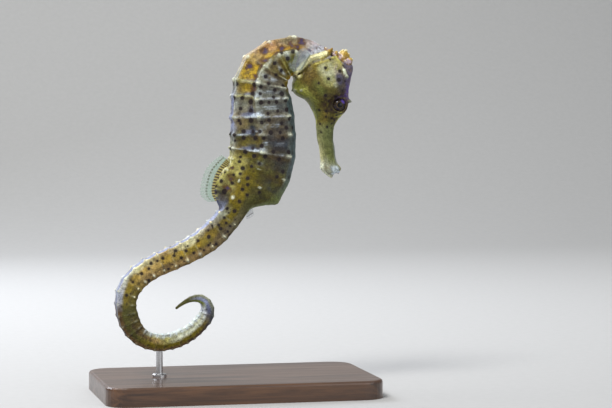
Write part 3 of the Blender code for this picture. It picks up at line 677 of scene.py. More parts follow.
# lemon along the front of the head below the eye is a painted lit rim
wash(zone([(27.9, 75.1), (29.2, 74.0), (28.7, 72.6)], 0.5, 0.6), "lemon", 0.45)
wash(on_snout * is_head, "moss", 0.75)
wash(on_snout * soft(rough_corner, 4.6, 6.6), "pear", 0.45)
wash(on_snout * band(page_at, 9.5, 13, 1.0), "slate", 0.18)
wash(on_snout * soft(page_at + wobble, 12.3, 14.2), "stone", 0.75)
wash(on_snout * soft(rough_corner, 6.2, 8.2) * soft(page_at, 10.5, 13.0), "cream", 0.6)
wash(on_snout * across(2.6, 5.4, 0.8) * band(page_at, 11.4, 14.0, 0.8) * soft(cloud, -0.8, 0.2),
     "deep_olive", 0.4)
wash(on_snout * soft(rough_corner, 2.8, 1.0) * soft(page_at, 10.5, 12.5), "lilac", 0.4)
lips = soft(page_at + 0.5 * wobble, 13.4, 14.4)
wash(lips, "stone", 0.7)
wash(lips * across(5.0, 6.8, 0.5) * soft(fleck + speck, -0.4, 0.6), "fawn", 0.6)
wash(lips * soft(rough_corner, 6.4, 7.6), "ivory", 0.85)
wash(band(page_at, 14.6, 16.6, 0.4) * across(2.4, 5.0, 0.5), "pearl", 0.65)
wash(band(page_at, 12.6, 14.3, 0.5) * across(2.4, 5.2, 0.5), "moss", 0.45)
wash(lips * soft(rough_corner, 2.4, 1.0), "pear", 0.8)
wash(soft(page_at, 15.9, 16.5) * soft(rough_corner, 7.0, 5.0), "pearl", 0.85)
wash(zone([(19.0, 90.8), (21.5, 91.8), (24.5, 92.0)], 1.8, 1.2), "lilac", 0.7)
wash(zone([(19.0, 90.8), (21.5, 91.8), (24.5, 92.0)], 1.8, 1.2) * soft(cloud + speck, -0.1, 0.6),
     "soil", 0.7)
wash(soft(brow, 0.15, 0.6), "honey", 0.85)
wash(soft(brow, 0.5, 0.9) * soft(speck, -0.4, 0.3), "straw", 0.8)
shoulder = zone([(17.2, 87.2), (18.6, 89.6), (21.0, 91.2)], 1.8, 0.7)
wash(shoulder * soft(speck + fleck, 0.0, 0.7), "mauve", 0.6)
wash(shoulder * soft(speck - 0.6 * fleck, 0.2, 0.7), "plum", 0.7)
wash(soft(rim, 0.20, 0.65), "honey", 0.7)
wash(soft(rim, 0.5, 0.9), "straw", 0.85)
wash(zone([(27.0, 89.6), (28.3, 88.4)], 0.7, 0.6), "straw", 0.7)
wash(soft(rim, 0.3, 0.7) * zone([(29.3, 86.8), (29.9, 85.0)], 0.9, 0.4), "ivory", 0.9)
wash(soft(collar, 0.03, 0.16) * near_head, "straw", 0.7)
wash(soft(collar, 0.16, 0.45) * near_head, "cream", 0.9)
wash(soft(flap, 0.06, 0.25), "ochre", 0.9)
wash(soft(flap, 0.10, 0.35) * soft(flap, 0.60, 0.40) * soft(speck, -0.5, 0.3), "straw", 0.8)
for place, tall, wide_mm in SPINES:
    wash(soft(from_place(place), wide_mm * 1.4, wide_mm * 0.4) * near_head, "stone", 0.9)
wash(soft(eye_gap, 3.4, 2.4) * is_head * soft(speck, -0.8, 0.2), "umber", 0.7)
GREEN_LEAN = (0.98, 1.035, 0.96)              # the whole animal leans a little to green
paint[:] = paint * GREEN_LEAN
print("head washed")

# %% [markdown]
# ## Dark dots and blotches
# The dots stand in rough rows, about two rows to a ring. They could be faces of their own, but then the
# mesh would set how round they are. Instead each point of the skin knows the middle and the radius of
# its nearest dot, and the material measures the distance to it, so a dot is crisp on any mesh. The left
# side carries the same rows, shifted by chance.

# %% Where the dots are: (ring, corner, radius in mm)
DOTS = [(0.5, 4.8, .42), (0.8, 6.3, .51), (1.2, 5.0, .6), (1.6, 5.6, .6), (1.8, 4.8, .5), (2.5, 5.5, .54),
        (2.5, 6.3, .5), (3.1, 6.1, .45), (3.5, 5.5, .54), (3.8, 6.9, .51), (3.9, 5.8, .5),
        (4.1, 4.0, .64), (4.2, 1.0, .62), (4.2, 5.3, .54), (4.3, 6.3, .51), (4.6, 3.7, .62),
        (4.6, 5.3, .48), (4.6, 6.8, .68), (4.9, 1.9, .57), (4.9, 6.1, .48), (4.9, 1.0, .57),
        (5.1, 3.0, .72), (5.1, 6.9, .51), (5.2, 5.3, .62), (5.2, 5.8, .45), (5.2, 6.3, .54),
        (5.5, 1.8, .51), (5.6, 3.0, .57), (5.6, 6.9, .62), (5.7, 6.3, .45), (5.8, 5.6, .45),
        (6.1, 7.1, .6), (6.2, 1.6, .48), (6.2, 3.0, .64), (6.2, 5.6, .54), (6.3, 5.1, .55),
        (6.4, 6.4, .48), (6.4, 1.8, .38), (6.6, 6.8, .56), (6.6, 7.7, .5), (6.8, 4.8, .51),
        (6.8, 2.1, .59), (6.8, 3.4, .48), (6.9, 5.6, .62), (6.9, 6.3, .48), (7.0, 1.1, .58),
        (7.2, 2.1, .57), (7.2, 3.9, .59), (7.2, 5.1, .51), (7.2, 6.4, .59), (7.4, 1.1, .38),
        (7.6, 5.0, .59), (7.8, 6.9, .62), (7.8, 3.4, .48), (7.9, 5.8, .57), (8.1, 2.4, .62),
        (8.2, 0.3, .48), (8.2, 5.3, .6), (8.2, 6.3, .54), (8.3, 3.9, .59), (8.6, 1.9, .42),
        (8.7, 5.0, .45), (8.7, 6.8, .54), (8.8, 8.0, .55), (9.0, 1.9, .45), (9.0, 3.9, .42),
        (9.0, 6.4, .51), (9.4, 2.6, .57), (9.8, 2.6, .42), (9.8, 4.0, .51), (10.1, 4.5, .45),
        (10.1, 5.8, .45), (10.5, 2.1, .51), (10.5, 3.9, .48), (10.6, 5.1, .45), (9.75, 0.8, .4),
        (10.2, 0.9, .3), (10.3, 0.5, .28), (10.55, 0.4, .28), (10.7, 0.9, .55), (11.0, 0.5, .3),
        (11.3, 0.6, .3), (11.1, 1.6, .7), (10.05, 1.9, .35), (11.2, 4.5, .5), (11.9, 4.7, .54),
        (12.0, 3.4, .42), (12.6, 4.0, .51), (12.8, 4.8, .54), (12.8, 5.8, .5), (13.2, 6.1, .42),
        (13.3, 4.2, .6), (13.4, 4.8, .6), (13.6, 3.5, .38), (14.1, 3.7, .38), (14.3, 6.3, .5),
        (14.4, 4.5, .6), (14.7, 5.6, .42), (15.2, 4.0, .6), (15.2, 6.0, .5), (15.9, 5.5, .48),
        (16.1, 3.9, .38), (16.4, 4.5, .6), (16.9, 5.3, .5), (17.1, 3.7, .55), (17.4, 4.3, .55),
        (18.2, 6.3, .5), (18.3, 4.0, .55), (18.7, 4.0, .5), (19.3, 3.9, .5), (19.6, 4.5, .55),
        (20.2, 6.4, .5), (20.4, 4.5, .5), (21.4, 4.5, .45), (22.6, 4.7, .5)]
# (ring, corner, radius): larger and softer, bluish inside a brown rim
BLOTCHES = [(0.7, 1.9, 1.2), (0.9, 3.6, .9), (1.2, 2.6, .8), (1.8, 0.6, .7), (1.7, 2.9, 1.0),
            (2.4, 2.0, 1.0), (2.7, 3.7, .9), (3.3, 1.8, 1.1), (3.7, 3.3, .8), (3.1, 4.2, .6),
            (2.1, 4.2, .6), (4.4, 3.9, .8), (9.8, 1.5, .7), (10.3, 1.75, .95), (10.9, 1.7, .95)]
# (page, corner, radius) on the head
HEAD_DOTS = [(1.4, 1.9, .6), (2.1, 1.6, .5), (2.0, 4.0, .42), (2.8, 3.4, .48), (3.0, 4.5, .42),
             (3.5, 3.7, .55), (3.0, 5.3, .3), (3.9, 2.7, .25), (4.8, 5.1, .48), (5.4, 4.0, .42),
             (5.7, 5.0, .28), (4.8, 3.0, .22), (7.1, 5.6, .32), (6.8, 6.9, .40), (9.4, 6.9, .34),
             (8.0, 5.5, .28), (8.3, 4.1, .42), (9.8, 4.5, .35), (10.4, 6.4, .28), (0.15, 7.2, .45),
             (6.5, 4.1, .34), (6.9, 3.5, .30), (7.2, 3.0, .34), (7.4, 3.9, .28), (7.7, 2.6, .36),
             (7.9, 3.3, .34), (8.3, 2.7, .30), (8.6, 3.4, .28), (7.0, 4.6, .26), (5.8, 3.5, .36),
             (6.3, 3.2, .28), (8.9, 2.9, .26), (9.3, 3.4, .24), (2.6, 2.6, .36), (1.6, 2.9, .34)]


print("listed:", len(DOTS), "dots on the body,", len(HEAD_DOTS), "on the head,", len(BLOTCHES), "blotches")

# %% Distances to the dots, in mm
chance = np.random.default_rng(21)
DOTS_SHRINK_FROM = 12.2      # the ring from which dots are smaller, on the tail


def grid_place(at, corner_no, left, stations):
    row = int(np.abs(stations - at).argmin())
    col = int(round(corner_no / (CORNERS - 1) * half))
    return skin_grid[row, col if left else (AROUND - col) % AROUND]


def gap_to(places):
    """How far each point of the skin is from the nearest dot's rim, and that dot's middle and size."""
    places = np.array(places)
    gaps = np.full(skin_grid.shape[:2], 9.0)
    nearest_dot = np.zeros((*skin_grid.shape[:2], 4))
    for dot in places:
        near = np.linalg.norm(skin_grid - dot[:3], axis=2) - dot[3]
        closer = near < gaps
        gaps[closer] = near[closer]
        nearest_dot[closer] = dot
    return gaps, nearest_dot


def both_sides(rows, stations, drift):
    places = []
    for at, corner_no, radius in rows:
        if stations is station_ring and at > DOTS_SHRINK_FROM:
            radius = radius * chance.uniform(0.62, 0.92)
        places.append([*grid_place(at, corner_no, False, stations), radius])
        moved = at + chance.normal(0, drift), corner_no + chance.normal(0, 2 * drift)
        if chance.random() > 0.1:
            places.append([*grid_place(*moved, True, stations), radius * chance.uniform(0.85, 1.1)])
    return places


dots = both_sides(DOTS, station_ring, 0.14) + both_sides(HEAD_DOTS, station_page, 0.06)
for r in range(12, 40):                      # finer dots run on along the tail
    for corner_no in (3.9, 5.6, 6.7):
        for left in (False, True):
            at = r + chance.uniform(0.2, 0.8)
            place = grid_place(at, corner_no + chance.normal(0, 0.3), left, station_ring)
            dots.append([*place, 0.24 * chance.uniform(0.5, 1.2) * max(0.4, 1 - r / 50)])
dot_gap, dot_home = gap_to(dots)
blotch_gap, _ = gap_to(both_sides(BLOTCHES, station_ring, 0.12))
print(len(dots), "dots placed")

# %% [markdown]
# ## The skin as one mesh
# Rows of quads run from inside the lips to the tip of the tail. The first rows fold into the mouth, and
# both ends close in a point. A map of four strips is laid out with it: trunk, head, and two lengths of
# tail, each cut along the belly where a cut shows least.

# %% Closing the ends
def closing_rows(end, inner_row, shrink_and_move):
    """Rows beyond an end of the grid: the end row, shrunk, and moved along the line from or to the body."""
    middle = end.mean(axis=0)
    way = inner_row.mean(axis=0) - middle
    way /= np.linalg.norm(way)
    return [middle + (end - middle) * share + way * move for share, move in shrink_and_move]


mouth_rows = closing_rows(skin_grid[0], skin_grid[14], (
    (0.34, 2.1), (0.42, 1.4), (0.50, 0.7), (0.60, 0.25), (0.74, -0.02), (0.90, -0.12)))
tip_rows = closing_rows(skin_grid[-1], skin_grid[-8], ((0.85, -0.12), (0.5, -0.22)))
first = len(mouth_rows)
rows = np.concatenate([mouth_rows, skin_grid, tip_rows])
count = rows.shape[0] * AROUND


def carry(values, inside=None):
    """Values of the skin grid for every point of the mesh: the grid, the rows beyond it and two poles."""
    start = np.repeat(values[:1], first, axis=0)
    if inside is not None:
        start = np.ones_like(start) * inside
    flat = np.concatenate([start, values, values[-1:], values[-1:]]).reshape(count, -1)
    return np.concatenate([flat, flat[:1], flat[-1:]])


print("rows of the skin:", len(rows), "of which", first, "fold into the mouth")

# %% Faces, map and colours
def put(name, data):
    """A new object in the scene."""
    thing = bpy.data.objects.new(name, data)
    bpy.context.scene.collection.objects.link(thing)
    return thing


def per_point(mesh, name, values, kind="FLOAT", part="value"):
    """Give every point of a mesh a value of its own, or a vector or colour of its own."""
    layer = mesh.attributes.new(name, kind, "POINT")
    layer.data.foreach_set(part, np.array(values, np.float32).ravel())


MAP_TRUNK_TO, MAP_TAIL_TO = 11.5, 24         # rings at which one strip of the map ends and the next begins


def strip_uv(row):
    """Place of a row of the grid in the map: (u, v at the start, v at the end, strip)."""
    i = min(max(row - first, 0), len(station_ring) - 1)
    extra = (row - first - i) * 0.0008
    if station_page[i] >= 0:
        return 0.51 + 0.48 * i / on_head.sum() + extra, 0.01, 0.42, "head"
    r = station_ring[i]
    if r <= MAP_TRUNK_TO:
        return 0.01 + 0.47 * r / MAP_TRUNK_TO, 0.01, 0.52, "trunk"
    if r <= MAP_TAIL_TO:
        return 0.01 + 0.46 * (r - MAP_TRUNK_TO) / (MAP_TAIL_TO - MAP_TRUNK_TO), 0.55, 0.78, "tail"
    return 0.51 + 0.46 * (r - MAP_TAIL_TO) / (LAST_RING - MAP_TAIL_TO) + extra, 0.55, 0.70, "tail end"


points = np.concatenate([rows.reshape(-1, 3), [mouth_rows[0].mean(axis=0)], [tip_rows[-1].mean(axis=0)]])
order = (np.arange(AROUND) + half) % AROUND          # start at the belly
faces, corners_uv = [], []
strips = [strip_uv(row) for row in range(rows.shape[0])]
last_row = rows.shape[0] - 1


def around_row(row):
    """Neighbours round a row, with where each lies in the map."""
    v0, v1 = strips[row][1:3]
    for j in range(AROUND):
        yield (row * AROUND + order[j], row * AROUND + order[(j + 1) % AROUND],
               v0 + (v1 - v0) * j / AROUND, v0 + (v1 - v0) * (j + 1) / AROUND)


for row in range(last_row):
    u0, name = strips[row][0], strips[row][3]
    u1 = strips[row + 1][0] if strips[row + 1][3] == name else u0 + (u0 - strips[row - 1][0])
    for a, b, va, vb in around_row(row):
        faces.append((a, b, b + AROUND, a + AROUND))
        corners_uv += [(u0, va), (u0, vb), (u1, vb), (u1, va)]
for a, b, va, vb in around_row(0):
    faces.append((b, a, count))
    corners_uv += [(strips[0][0], vb), (strips[0][0], va), (strips[0][0] - 0.002, va)]
for a, b, va, vb in around_row(last_row):
    faces.append((a, b, count + 1))
    corners_uv += [(strips[-1][0], va), (strips[-1][0], vb), (strips[-1][0] + 0.002, va)]

skin_mesh = bpy.data.meshes.new("skin")
skin_mesh.from_pydata((points * MM).tolist(), [], faces)
uv = skin_mesh.uv_layers.new(name="OFBake")
uv.data.foreach_set("uv", np.array(corners_uv, dtype=np.float32).ravel())
signed = sum(float(np.dot(points[f[0]], np.cross(points[f[1]], points[f[2]]))) for f in faces[::37])
if signed < 0:
    skin_mesh.flip_normals()

DARK_MOUTH = np.array([0.05, 0.03, 0.025])
layer = skin_mesh.color_attributes.new("paint", "FLOAT_COLOR", "POINT")
colours = carry(paint, DARK_MOUTH)
colours = np.concatenate([colours, np.ones((len(colours), 1))], axis=1)
layer.data.foreach_set("color", colours.astype(np.float32).ravel())
middles = carry(dot_home[:, :, :3]) * MM
middles[count:] = 0.0
per_point(skin_mesh, "dot_middle", middles, "FLOAT_VECTOR", "vector")
per_point(skin_mesh, "dot_gap", carry(dot_gap, 9.0))
per_point(skin_mesh, "dot_radius", carry(dot_home[:, :, 3]) * MM)
per_point(skin_mesh, "blotch_gap", carry(blotch_gap, 9.0))
skin_mesh.polygons.foreach_set("use_smooth", [True] * len(skin_mesh.polygons))
skin = put("skin", skin_mesh)
print("skin:", len(skin_mesh.vertices), "points,", sum(len(f) - 2 for f in faces), "triangles")

# %% [markdown]
# ## How skin takes the light
# Wet, bony skin is matt with a thin clear gloss. Two effects are shared by several materials, so each
# is a node group: `fine grain` puts pores and tiny warts into the surface, and `mottle` breaks up any
# colour into paler and darker flecks, so that no wash looks like paint from a roller.

# %% Node helpers
class Wire:
    """An output of a node that can be calculated with: sums and products become Math nodes."""

    def __init__(self, socket):
        self.socket, self.tree = socket, socket.id_data

    def maths(self, operation, *others):
        return add(self.tree, "Math", dict(enumerate([self, *others])), operation=operation)

    def __add__(self, other):
        return self.maths("ADD", other)

    def __sub__(self, other):
        return self.maths("SUBTRACT", other)

    def __mul__(self, other):
        return self.maths("MULTIPLY", other)

    def vector(self, operation, *others, output=0):
        return add(self.tree, "VectorMath", dict(enumerate([self, *others])), output, operation=operation)

    def ramp(self, at_start, at_end, start=0.0, end=1.0, **settings):
        return add(self.tree, "MapRange", {0: self, 1: at_start, 2: at_end, 3: start, 4: end}, **settings)

    def mask(self, at_0, at_1):
        """A smooth mask that is 0 where the value is at_0 and 1 where it is at_1."""
        return self.ramp(at_0, at_1, interpolation_type="SMOOTHSTEP")


def feed(node, values):
    """Link inputs of a node to wires, or set them to plain values."""
    for key, value in values.items():
        if isinstance(value, Wire):
            value.tree.links.new(value.socket, node.inputs[key])
        else:
            node.inputs[key].default_value = value


def add(tree, kind, inputs=None, output=0, **settings):
    """A new node with its inputs fed, handed back as one of its outputs."""
    node = tree.nodes.new(kind if "Node" in kind else "ShaderNode" + kind)
    for key, value in settings.items():
        setattr(node, key, value)
    feed(node, inputs or {})
    return Wire(node.outputs[output])


def blend(share, under, over, how="MIX"):
    tree = next(value.tree for value in (share, under, over) if isinstance(value, Wire))
    return add(tree, "Mix", {0: share, 6: under, 7: over}, 2, data_type="RGBA", blend_type=how)


def place_in(tree):
    return add(tree, "TexCoord", output="Object")


def attribute(tree, name, output="Fac"):
    return add(tree, "Attribute", output=output, attribute_name=name)


def noise(place, scale, detail, more=None, **settings):
    inputs = {"Vector": place, "Scale": scale, "Detail": detail, **(more or {})}
    return add(place.tree, "TexNoise", inputs, "Fac", **settings)


def bump(height, strength, distance):
    return add(height.tree, "Bump", {"Height": height, "Strength": strength, "Distance": distance})


def tint(name):
    return (*[float(c) for c in linear(name)], 1.0)


def new_tree(kind, name, inputs, outputs):
    """A node group with named inputs, as (label, kind, value); hands back its inputs too."""
    tree = bpy.data.node_groups.new(name, kind + "NodeTree")
    for label, socket_kind, value in inputs:
        socket = tree.interface.new_socket(label, in_out="INPUT", socket_type="NodeSocket" + socket_kind)
        if value is not None:
            socket.default_value = value
    for label, socket_kind in outputs:
        tree.interface.new_socket(label, in_out="OUTPUT", socket_type="NodeSocket" + socket_kind)
    given = tree.nodes.new("NodeGroupInput").outputs
    return tree, {socket.name: Wire(socket) for socket in given}, tree.nodes.new("NodeGroupOutput")


def new_material(name):
    material = bpy.data.materials.new(name)
    material.use_nodes = True
    tree = material.node_tree
    tree.nodes.clear()
    out = tree.nodes.new("ShaderNodeOutputMaterial")
    shader = tree.nodes.new("ShaderNodeBsdfPrincipled")
    tree.links.new(shader.outputs[0], out.inputs[0])
    return material, tree, shader


# %% Group: mottle
mottle, given, result = new_tree(
    "Shader", "mottle", [("Colour", "Color", None), ("Patch size in mm", "Float", 1.0),
                         ("Strength", "Float", 0.3), ("Seed", "Float", 0.0)],
    [("Colour", "Color"), ("Mask", "Float")])
place, seed = place_in(mottle), {"W": given["Seed"]}
per_mm = add(mottle, "Math", {0: 1000.0, 1: given["Patch size in mm"]}, operation="DIVIDE")
wide_noise = noise(place, per_mm, 4.0, {"Roughness": 0.6, **seed}, noise_dimensions="4D")
tiny_noise = noise(place, per_mm * 3.7, 2.0, seed, noise_dimensions="4D")
centred = (wide_noise + tiny_noise).mask(0.75, 1.25)
factor = centred.ramp(0.0, 1.0, -1.0, 1.0) * given["Strength"] + 1.0
grey = add(mottle, "CombineColor", {0: factor, 1: factor, 2: factor})
feed(result, {"Colour": blend(1.0, given["Colour"], grey, "MULTIPLY"), "Mask": centred})


def mottled(tree, colour, size_mm, strength, seed=0.0):
    inputs = {"Colour": colour, "Patch size in mm": size_mm, "Strength": strength, "Seed": seed}
    return add(tree, "Group", inputs, "Colour", node_tree=mottle)


print("mottle:", len(mottle.nodes), "nodes")

# %% Group: fine grain
fine_grain, given, result = new_tree(
    "Shader", "fine grain", [("Pore size in mm", "Float", 0.3), ("Strength", "Float", 0.4)],
    [("Height", "Float"), ("Mask", "Float")])
place = place_in(fine_grain)
per_mm = add(fine_grain, "Math", {0: 1000.0, 1: given["Pore size in mm"]}, operation="DIVIDE")
warts = add(fine_grain, "TexVoronoi", {"Vector": place, "Scale": per_mm, "Randomness": 1.0}, "Distance",
            feature="SMOOTH_F1")
bead = warts.mask(0.62, 0.08)
feed(result, {"Height": (bead + noise(place, per_mm, 3.0)) * given["Strength"], "Mask": bead})


def grained(tree, size_mm, strength):
    """The height of the fine grain, and the mask of its beads."""
    height = add(tree, "Group", {"Pore size in mm": size_mm, "Strength": strength}, "Height",
                 node_tree=fine_grain)
    return height, Wire(height.socket.node.outputs["Mask"])


print("fine grain:", len(fine_grain.nodes), "nodes")

# %% Skin material
BLACK_DOT, DOT_HALO = (0.006, 0.003, 0.005, 1), (0.03, 0.02, 0.02, 1)
FLESH = {"Subsurface Radius": (0.0012, 0.0006, 0.0003), "Subsurface Scale": 1.0}
skin_material, tree, shader = new_material("painted skin")
place = place_in(tree)
coarse_mm = attribute(tree, "dot_gap")
to_middle = place.vector("DISTANCE", attribute(tree, "dot_middle", "Vector"), output="Value")
dot_mm = (to_middle - attribute(tree, "dot_radius")) * 1000.0 + coarse_mm.mask(0.14, 0.30) * 3.0
dot_edge = dot_mm + noise(place, 2600.0, 2.0).ramp(0.0, 1.0, -0.16, 0.16)
blotch_edge = attribute(tree, "blotch_gap") + noise(place, 900.0, 3.0).ramp(0.2, 0.8, -0.75, 0.75)
colour = mottled(tree, attribute(tree, "paint", "Color"), 0.9, 0.38)
colour = mottled(tree, colour, 0.34, 0.30, 3.0)
for share, over in ((blotch_edge.mask(0.45, -0.35) * 0.85, tint("rust")),
                    (blotch_edge.mask(-0.2, -0.9) * 0.8, tint("grape")),
                    (dot_edge.mask(0.14, -0.14) * 0.93, BLACK_DOT),
                    (coarse_mm.mask(0.6, 0.0) * 0.30, DOT_HALO)):
    colour = blend(share, colour, over)
pore_height, pore_mask = grained(tree, 0.34, 0.5)
feed(shader, {"Base Color": colour, "Normal": bump(pore_height, 0.6, 0.00016),
              "Roughness": pore_mask.ramp(0.0, 1.0, 0.58, 0.42), "Specular IOR Level": 0.16,
              "Subsurface Weight": 0.06, "Coat Weight": 0.04, "Coat Roughness": 0.25, **FLESH})
skin_mesh.materials.append(skin_material)
print("skin material:", len(tree.nodes), "nodes")

# %% [markdown]
# ## The eyes
# A seahorse's eyes stand out like turrets, and each turns on its own. The ball is a sphere whose pole
# looks outward, so that the iris can be drawn round it from nothing but the distance to that axis.

# %% Two balls and their glass
def finish_piece(name, mesh, material, *replaced, slot=None):
    piece = put(name, mesh)
    if material is not None:
        mesh.materials.clear()
        mesh.materials.append(material)
    mesh.polygons.foreach_set("use_smooth", [True] * len(mesh.polygons))
    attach(piece, "root")
    if replaced:
        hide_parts(*replaced)
    return piece


def closed_mesh(name, verts_mm, faces):
    """A mesh from millimetres, with doubles merged and faces turned outwards."""
    mesh = bpy.data.meshes.new(name)
    mesh.from_pydata([tuple(float(c) * MM for c in v) for v in verts_mm], [], faces)
    work = bmesh.new()
    work.from_mesh(mesh)
    bmesh.ops.remove_doubles(work, verts=work.verts, dist=1e-7)
    bmesh.ops.recalc_face_normals(work, faces=work.faces)
    work.to_mesh(mesh)
    work.free()
    return mesh


def in_side_view(place, x, z):
    """Place relative to a point of the side view, flattened, and its length."""
    flat = place.vector("SUBTRACT", (x, 0, z)).vector("MULTIPLY", (1, 0, 1))
    return flat, flat.vector("LENGTH", output="Value")


eye_material, tree, shader = new_material("eye glass")
place = place_in(tree)
flat_place, radius = in_side_view(place, EYE_AT[0] * MM, EYE_AT[1] * MM)
# distance to the middle of a painted violet highlight on the ball, up and forward of the pupil
_, painted_glint_gap = in_side_view(place, EYE_AT[0] * MM + 0.0011, EYE_AT[1] * MM + 0.0010)
part = [Wire(socket) for socket in add(tree, "SeparateXYZ", {0: flat_place}).socket.node.outputs]
spoke_at = add(tree, "CombineXYZ", {0: part[2].maths("ARCTAN2", part[0]), 1: radius})
spokes = noise(spoke_at, 5.5, 4.0, {"Distortion": 0.4})
colour = (0.010, 0.007, 0.008, 1)
for share, over in ((spokes.mask(0.42, 0.66), (0.065, 0.045, 0.018, 1)),
                    (noise(place, 1400.0, 3.0).mask(0.45, 0.62), (0.012, 0.008, 0.020, 1)),
                    # a painted violet highlight
                    (painted_glint_gap.mask(0.0010, 0.0002), (0.085, 0.045, 0.30, 1)),         # violet sheen
                    (radius.mask(0.00092, 0.00084), (0.10, 0.065, 0.018, 1)),          # ring of gold
                    (radius.mask(0.00080, 0.00072), (0.002, 0.002, 0.004, 1)),         # pupil
                    (radius.mask(0.0015, 0.0019), (0.03, 0.018, 0.03, 1))):            # dark edge
    colour = blend(share, colour, over)
feed(shader, {"Base Color": colour, "Roughness": 0.3, "Specular IOR Level": 0.05, "Coat Weight": 0.8,
              "Coat Roughness": 0.03, "Coat IOR": 1.34})

EYE_RINGS, EYE_AROUND = 28, 56
for side, sign in (("right", -1), ("left", 1)):
    verts, faces = [(EYE_AT[0], sign * (EYE_OUT + EYE_RADIUS), EYE_AT[1])], []
    for i in range(1, EYE_RINGS):
        lat = math.pi * i / EYE_RINGS
        for k in range(EYE_AROUND):
            lon = 2 * math.pi * k / EYE_AROUND
            verts.append((EYE_AT[0] + EYE_RADIUS * math.sin(lat) * math.cos(lon),
                          sign * (EYE_OUT + EYE_RADIUS * math.cos(lat)),
                          EYE_AT[1] + EYE_RADIUS * math.sin(lat) * math.sin(lon)))
    verts.append((EYE_AT[0], sign * (EYE_OUT - EYE_RADIUS), EYE_AT[1]))
    last = len(verts) - 1
    for k in range(EYE_AROUND):
        n = (k + 1) % EYE_AROUND
        faces += [(0, 1 + k, 1 + n), (last, last - EYE_AROUND + n, last - EYE_AROUND + k)]
        for a in range(1, last - EYE_AROUND, EYE_AROUND):
            faces.append((a + k, a + EYE_AROUND + k, a + EYE_AROUND + n, a + n))
    finish_piece("eyeball_" + side, closed_mesh("eyeball_" + side, verts, faces), eye_material,
                 "eye_" + side, slot="eye")
print("eyes at", EYE_AT, "radius", EYE_RADIUS)

# %% [markdown]
# ## The crown
# The coronet is a low bony crown with blunt points, different in every animal. It is a height field
# over the back of the skull: a dense patch of skin whose height is the tallest of several bell curves.

# %% Height of the crown and its mesh
# (page, angle from the middle in degrees, height in mm)
CROWN_POINTS = [(0.75, 22, 0.2), (1.15, 33, 0.6), (1.30, 12, 0.3), (1.62, 27, 1.1), (1.75, 7, 0.4),
                (1.92, 18, 0.5), (1.98, 3, 0.9), (2.18, 11, 2.4), (2.22, 28, 0.8), (2.42, 3, 1.8),
                (2.48, 34, 0.5), (2.64, 16, 1.1)]
CROWN_FROM, CROWN_TO, CROWN_HALF, CROWN_SHAPE = 0.42, 2.98, 43.0, (90, 96)


def plate(top, floor):
    """Points and faces of a closed plate between two grids of points."""
    n_rows, n_cols = top.shape[:2]
    one = n_rows * n_cols
    faces = []
    for i in range(n_rows - 1):
        for k in range(n_cols - 1):
            a = i * n_cols + k
            b = a + one
            faces += [(a, a + 1, a + n_cols + 1, a + n_cols), (b, b + n_cols, b + n_cols + 1, b + 1)]
    index = np.arange(one).reshape(n_rows, n_cols)
    rim = [int(i) for i in (*index[0], *index[1:, -1], *index[-1, -2::-1], *index[-2:0:-1, 0])]
    faces += [(a, b, b + one, a + one) for a, b in zip(rim, rim[1:] + rim[:1])]
    return np.concatenate([top.reshape(-1, 3), floor.reshape(-1, 3)]), faces


def label(mesh, places, **labels):
    """Give each point of a mesh the labels of the nearest of some places, given in mm."""
    near = kdtree.KDTree(len(places))
    for i, place in enumerate(places):
        near.insert(place, i)
    near.balance()
    found = [near.find(np.array(v.co) / MM)[1] for v in mesh.vertices]
    for name, values in labels.items():
        per_point(mesh, name, np.array(values)[found])


crown_page, crown_turn = np.meshgrid(np.linspace(CROWN_FROM, CROWN_TO, CROWN_SHAPE[0]),
                                     np.linspace(-CROWN_HALF, CROWN_HALF, CROWN_SHAPE[1]), indexing="ij")
under_crown = head_pages(crown_page.ravel(), np.radians(crown_turn.ravel())).reshape(*CROWN_SHAPE, 3)
crown_normals = np.cross(np.gradient(under_crown, axis=0), np.gradient(under_crown, axis=1))
crown_normals /= np.linalg.norm(crown_normals, axis=2, keepdims=True)
crown_normals *= np.sign(crown_normals[CROWN_SHAPE[0] // 2, CROWN_SHAPE[1] // 2, 2])
crown_rise = 0.22 + 0.20 * lattice_noise(under_crown, 1.1, 31) + 0.16 * lattice_noise(under_crown, 0.6, 32)
bent_page = 0.05 * lattice_noise(under_crown, 0.7, 33)
bent_turn = 1.8 * lattice_noise(under_crown, 0.7, 34)
tips = [(at, turned, tall) for at, angle, tall in CROWN_POINTS for turned in {angle, -angle}]
for at, turned, tall in tips:
    gap2 = ((crown_page - at + bent_page) / 0.16) ** 2 + ((crown_turn - turned + bent_turn) / 5.4) ** 2
    stalk = tall * (0.60 * np.exp(-gap2 ** 1.2) + 0.40 * np.exp(-gap2 / 3.2))
    crown_rise = np.maximum(crown_rise, 0.22 + stalk)
rim_share = np.minimum.reduce([(crown_page - CROWN_FROM) / 0.3, (CROWN_TO - crown_page) / 0.3,
                               (CROWN_HALF - np.abs(crown_turn)) / 10])
crown_rise = -0.25 + (crown_rise + 0.25) * soft(rim_share, 0, 1)
crown_top = under_crown + crown_normals * crown_rise[..., None]
crown_verts, crown_faces = plate(crown_top, under_crown - crown_normals * 0.5)
crown_mesh = closed_mesh("crown", crown_verts, crown_faces)
label(crown_mesh, crown_verts, pale=np.concatenate([crown_rise.ravel(), np.full(crown_rise.size, -0.5)]))
print("crown points:", len(tips))

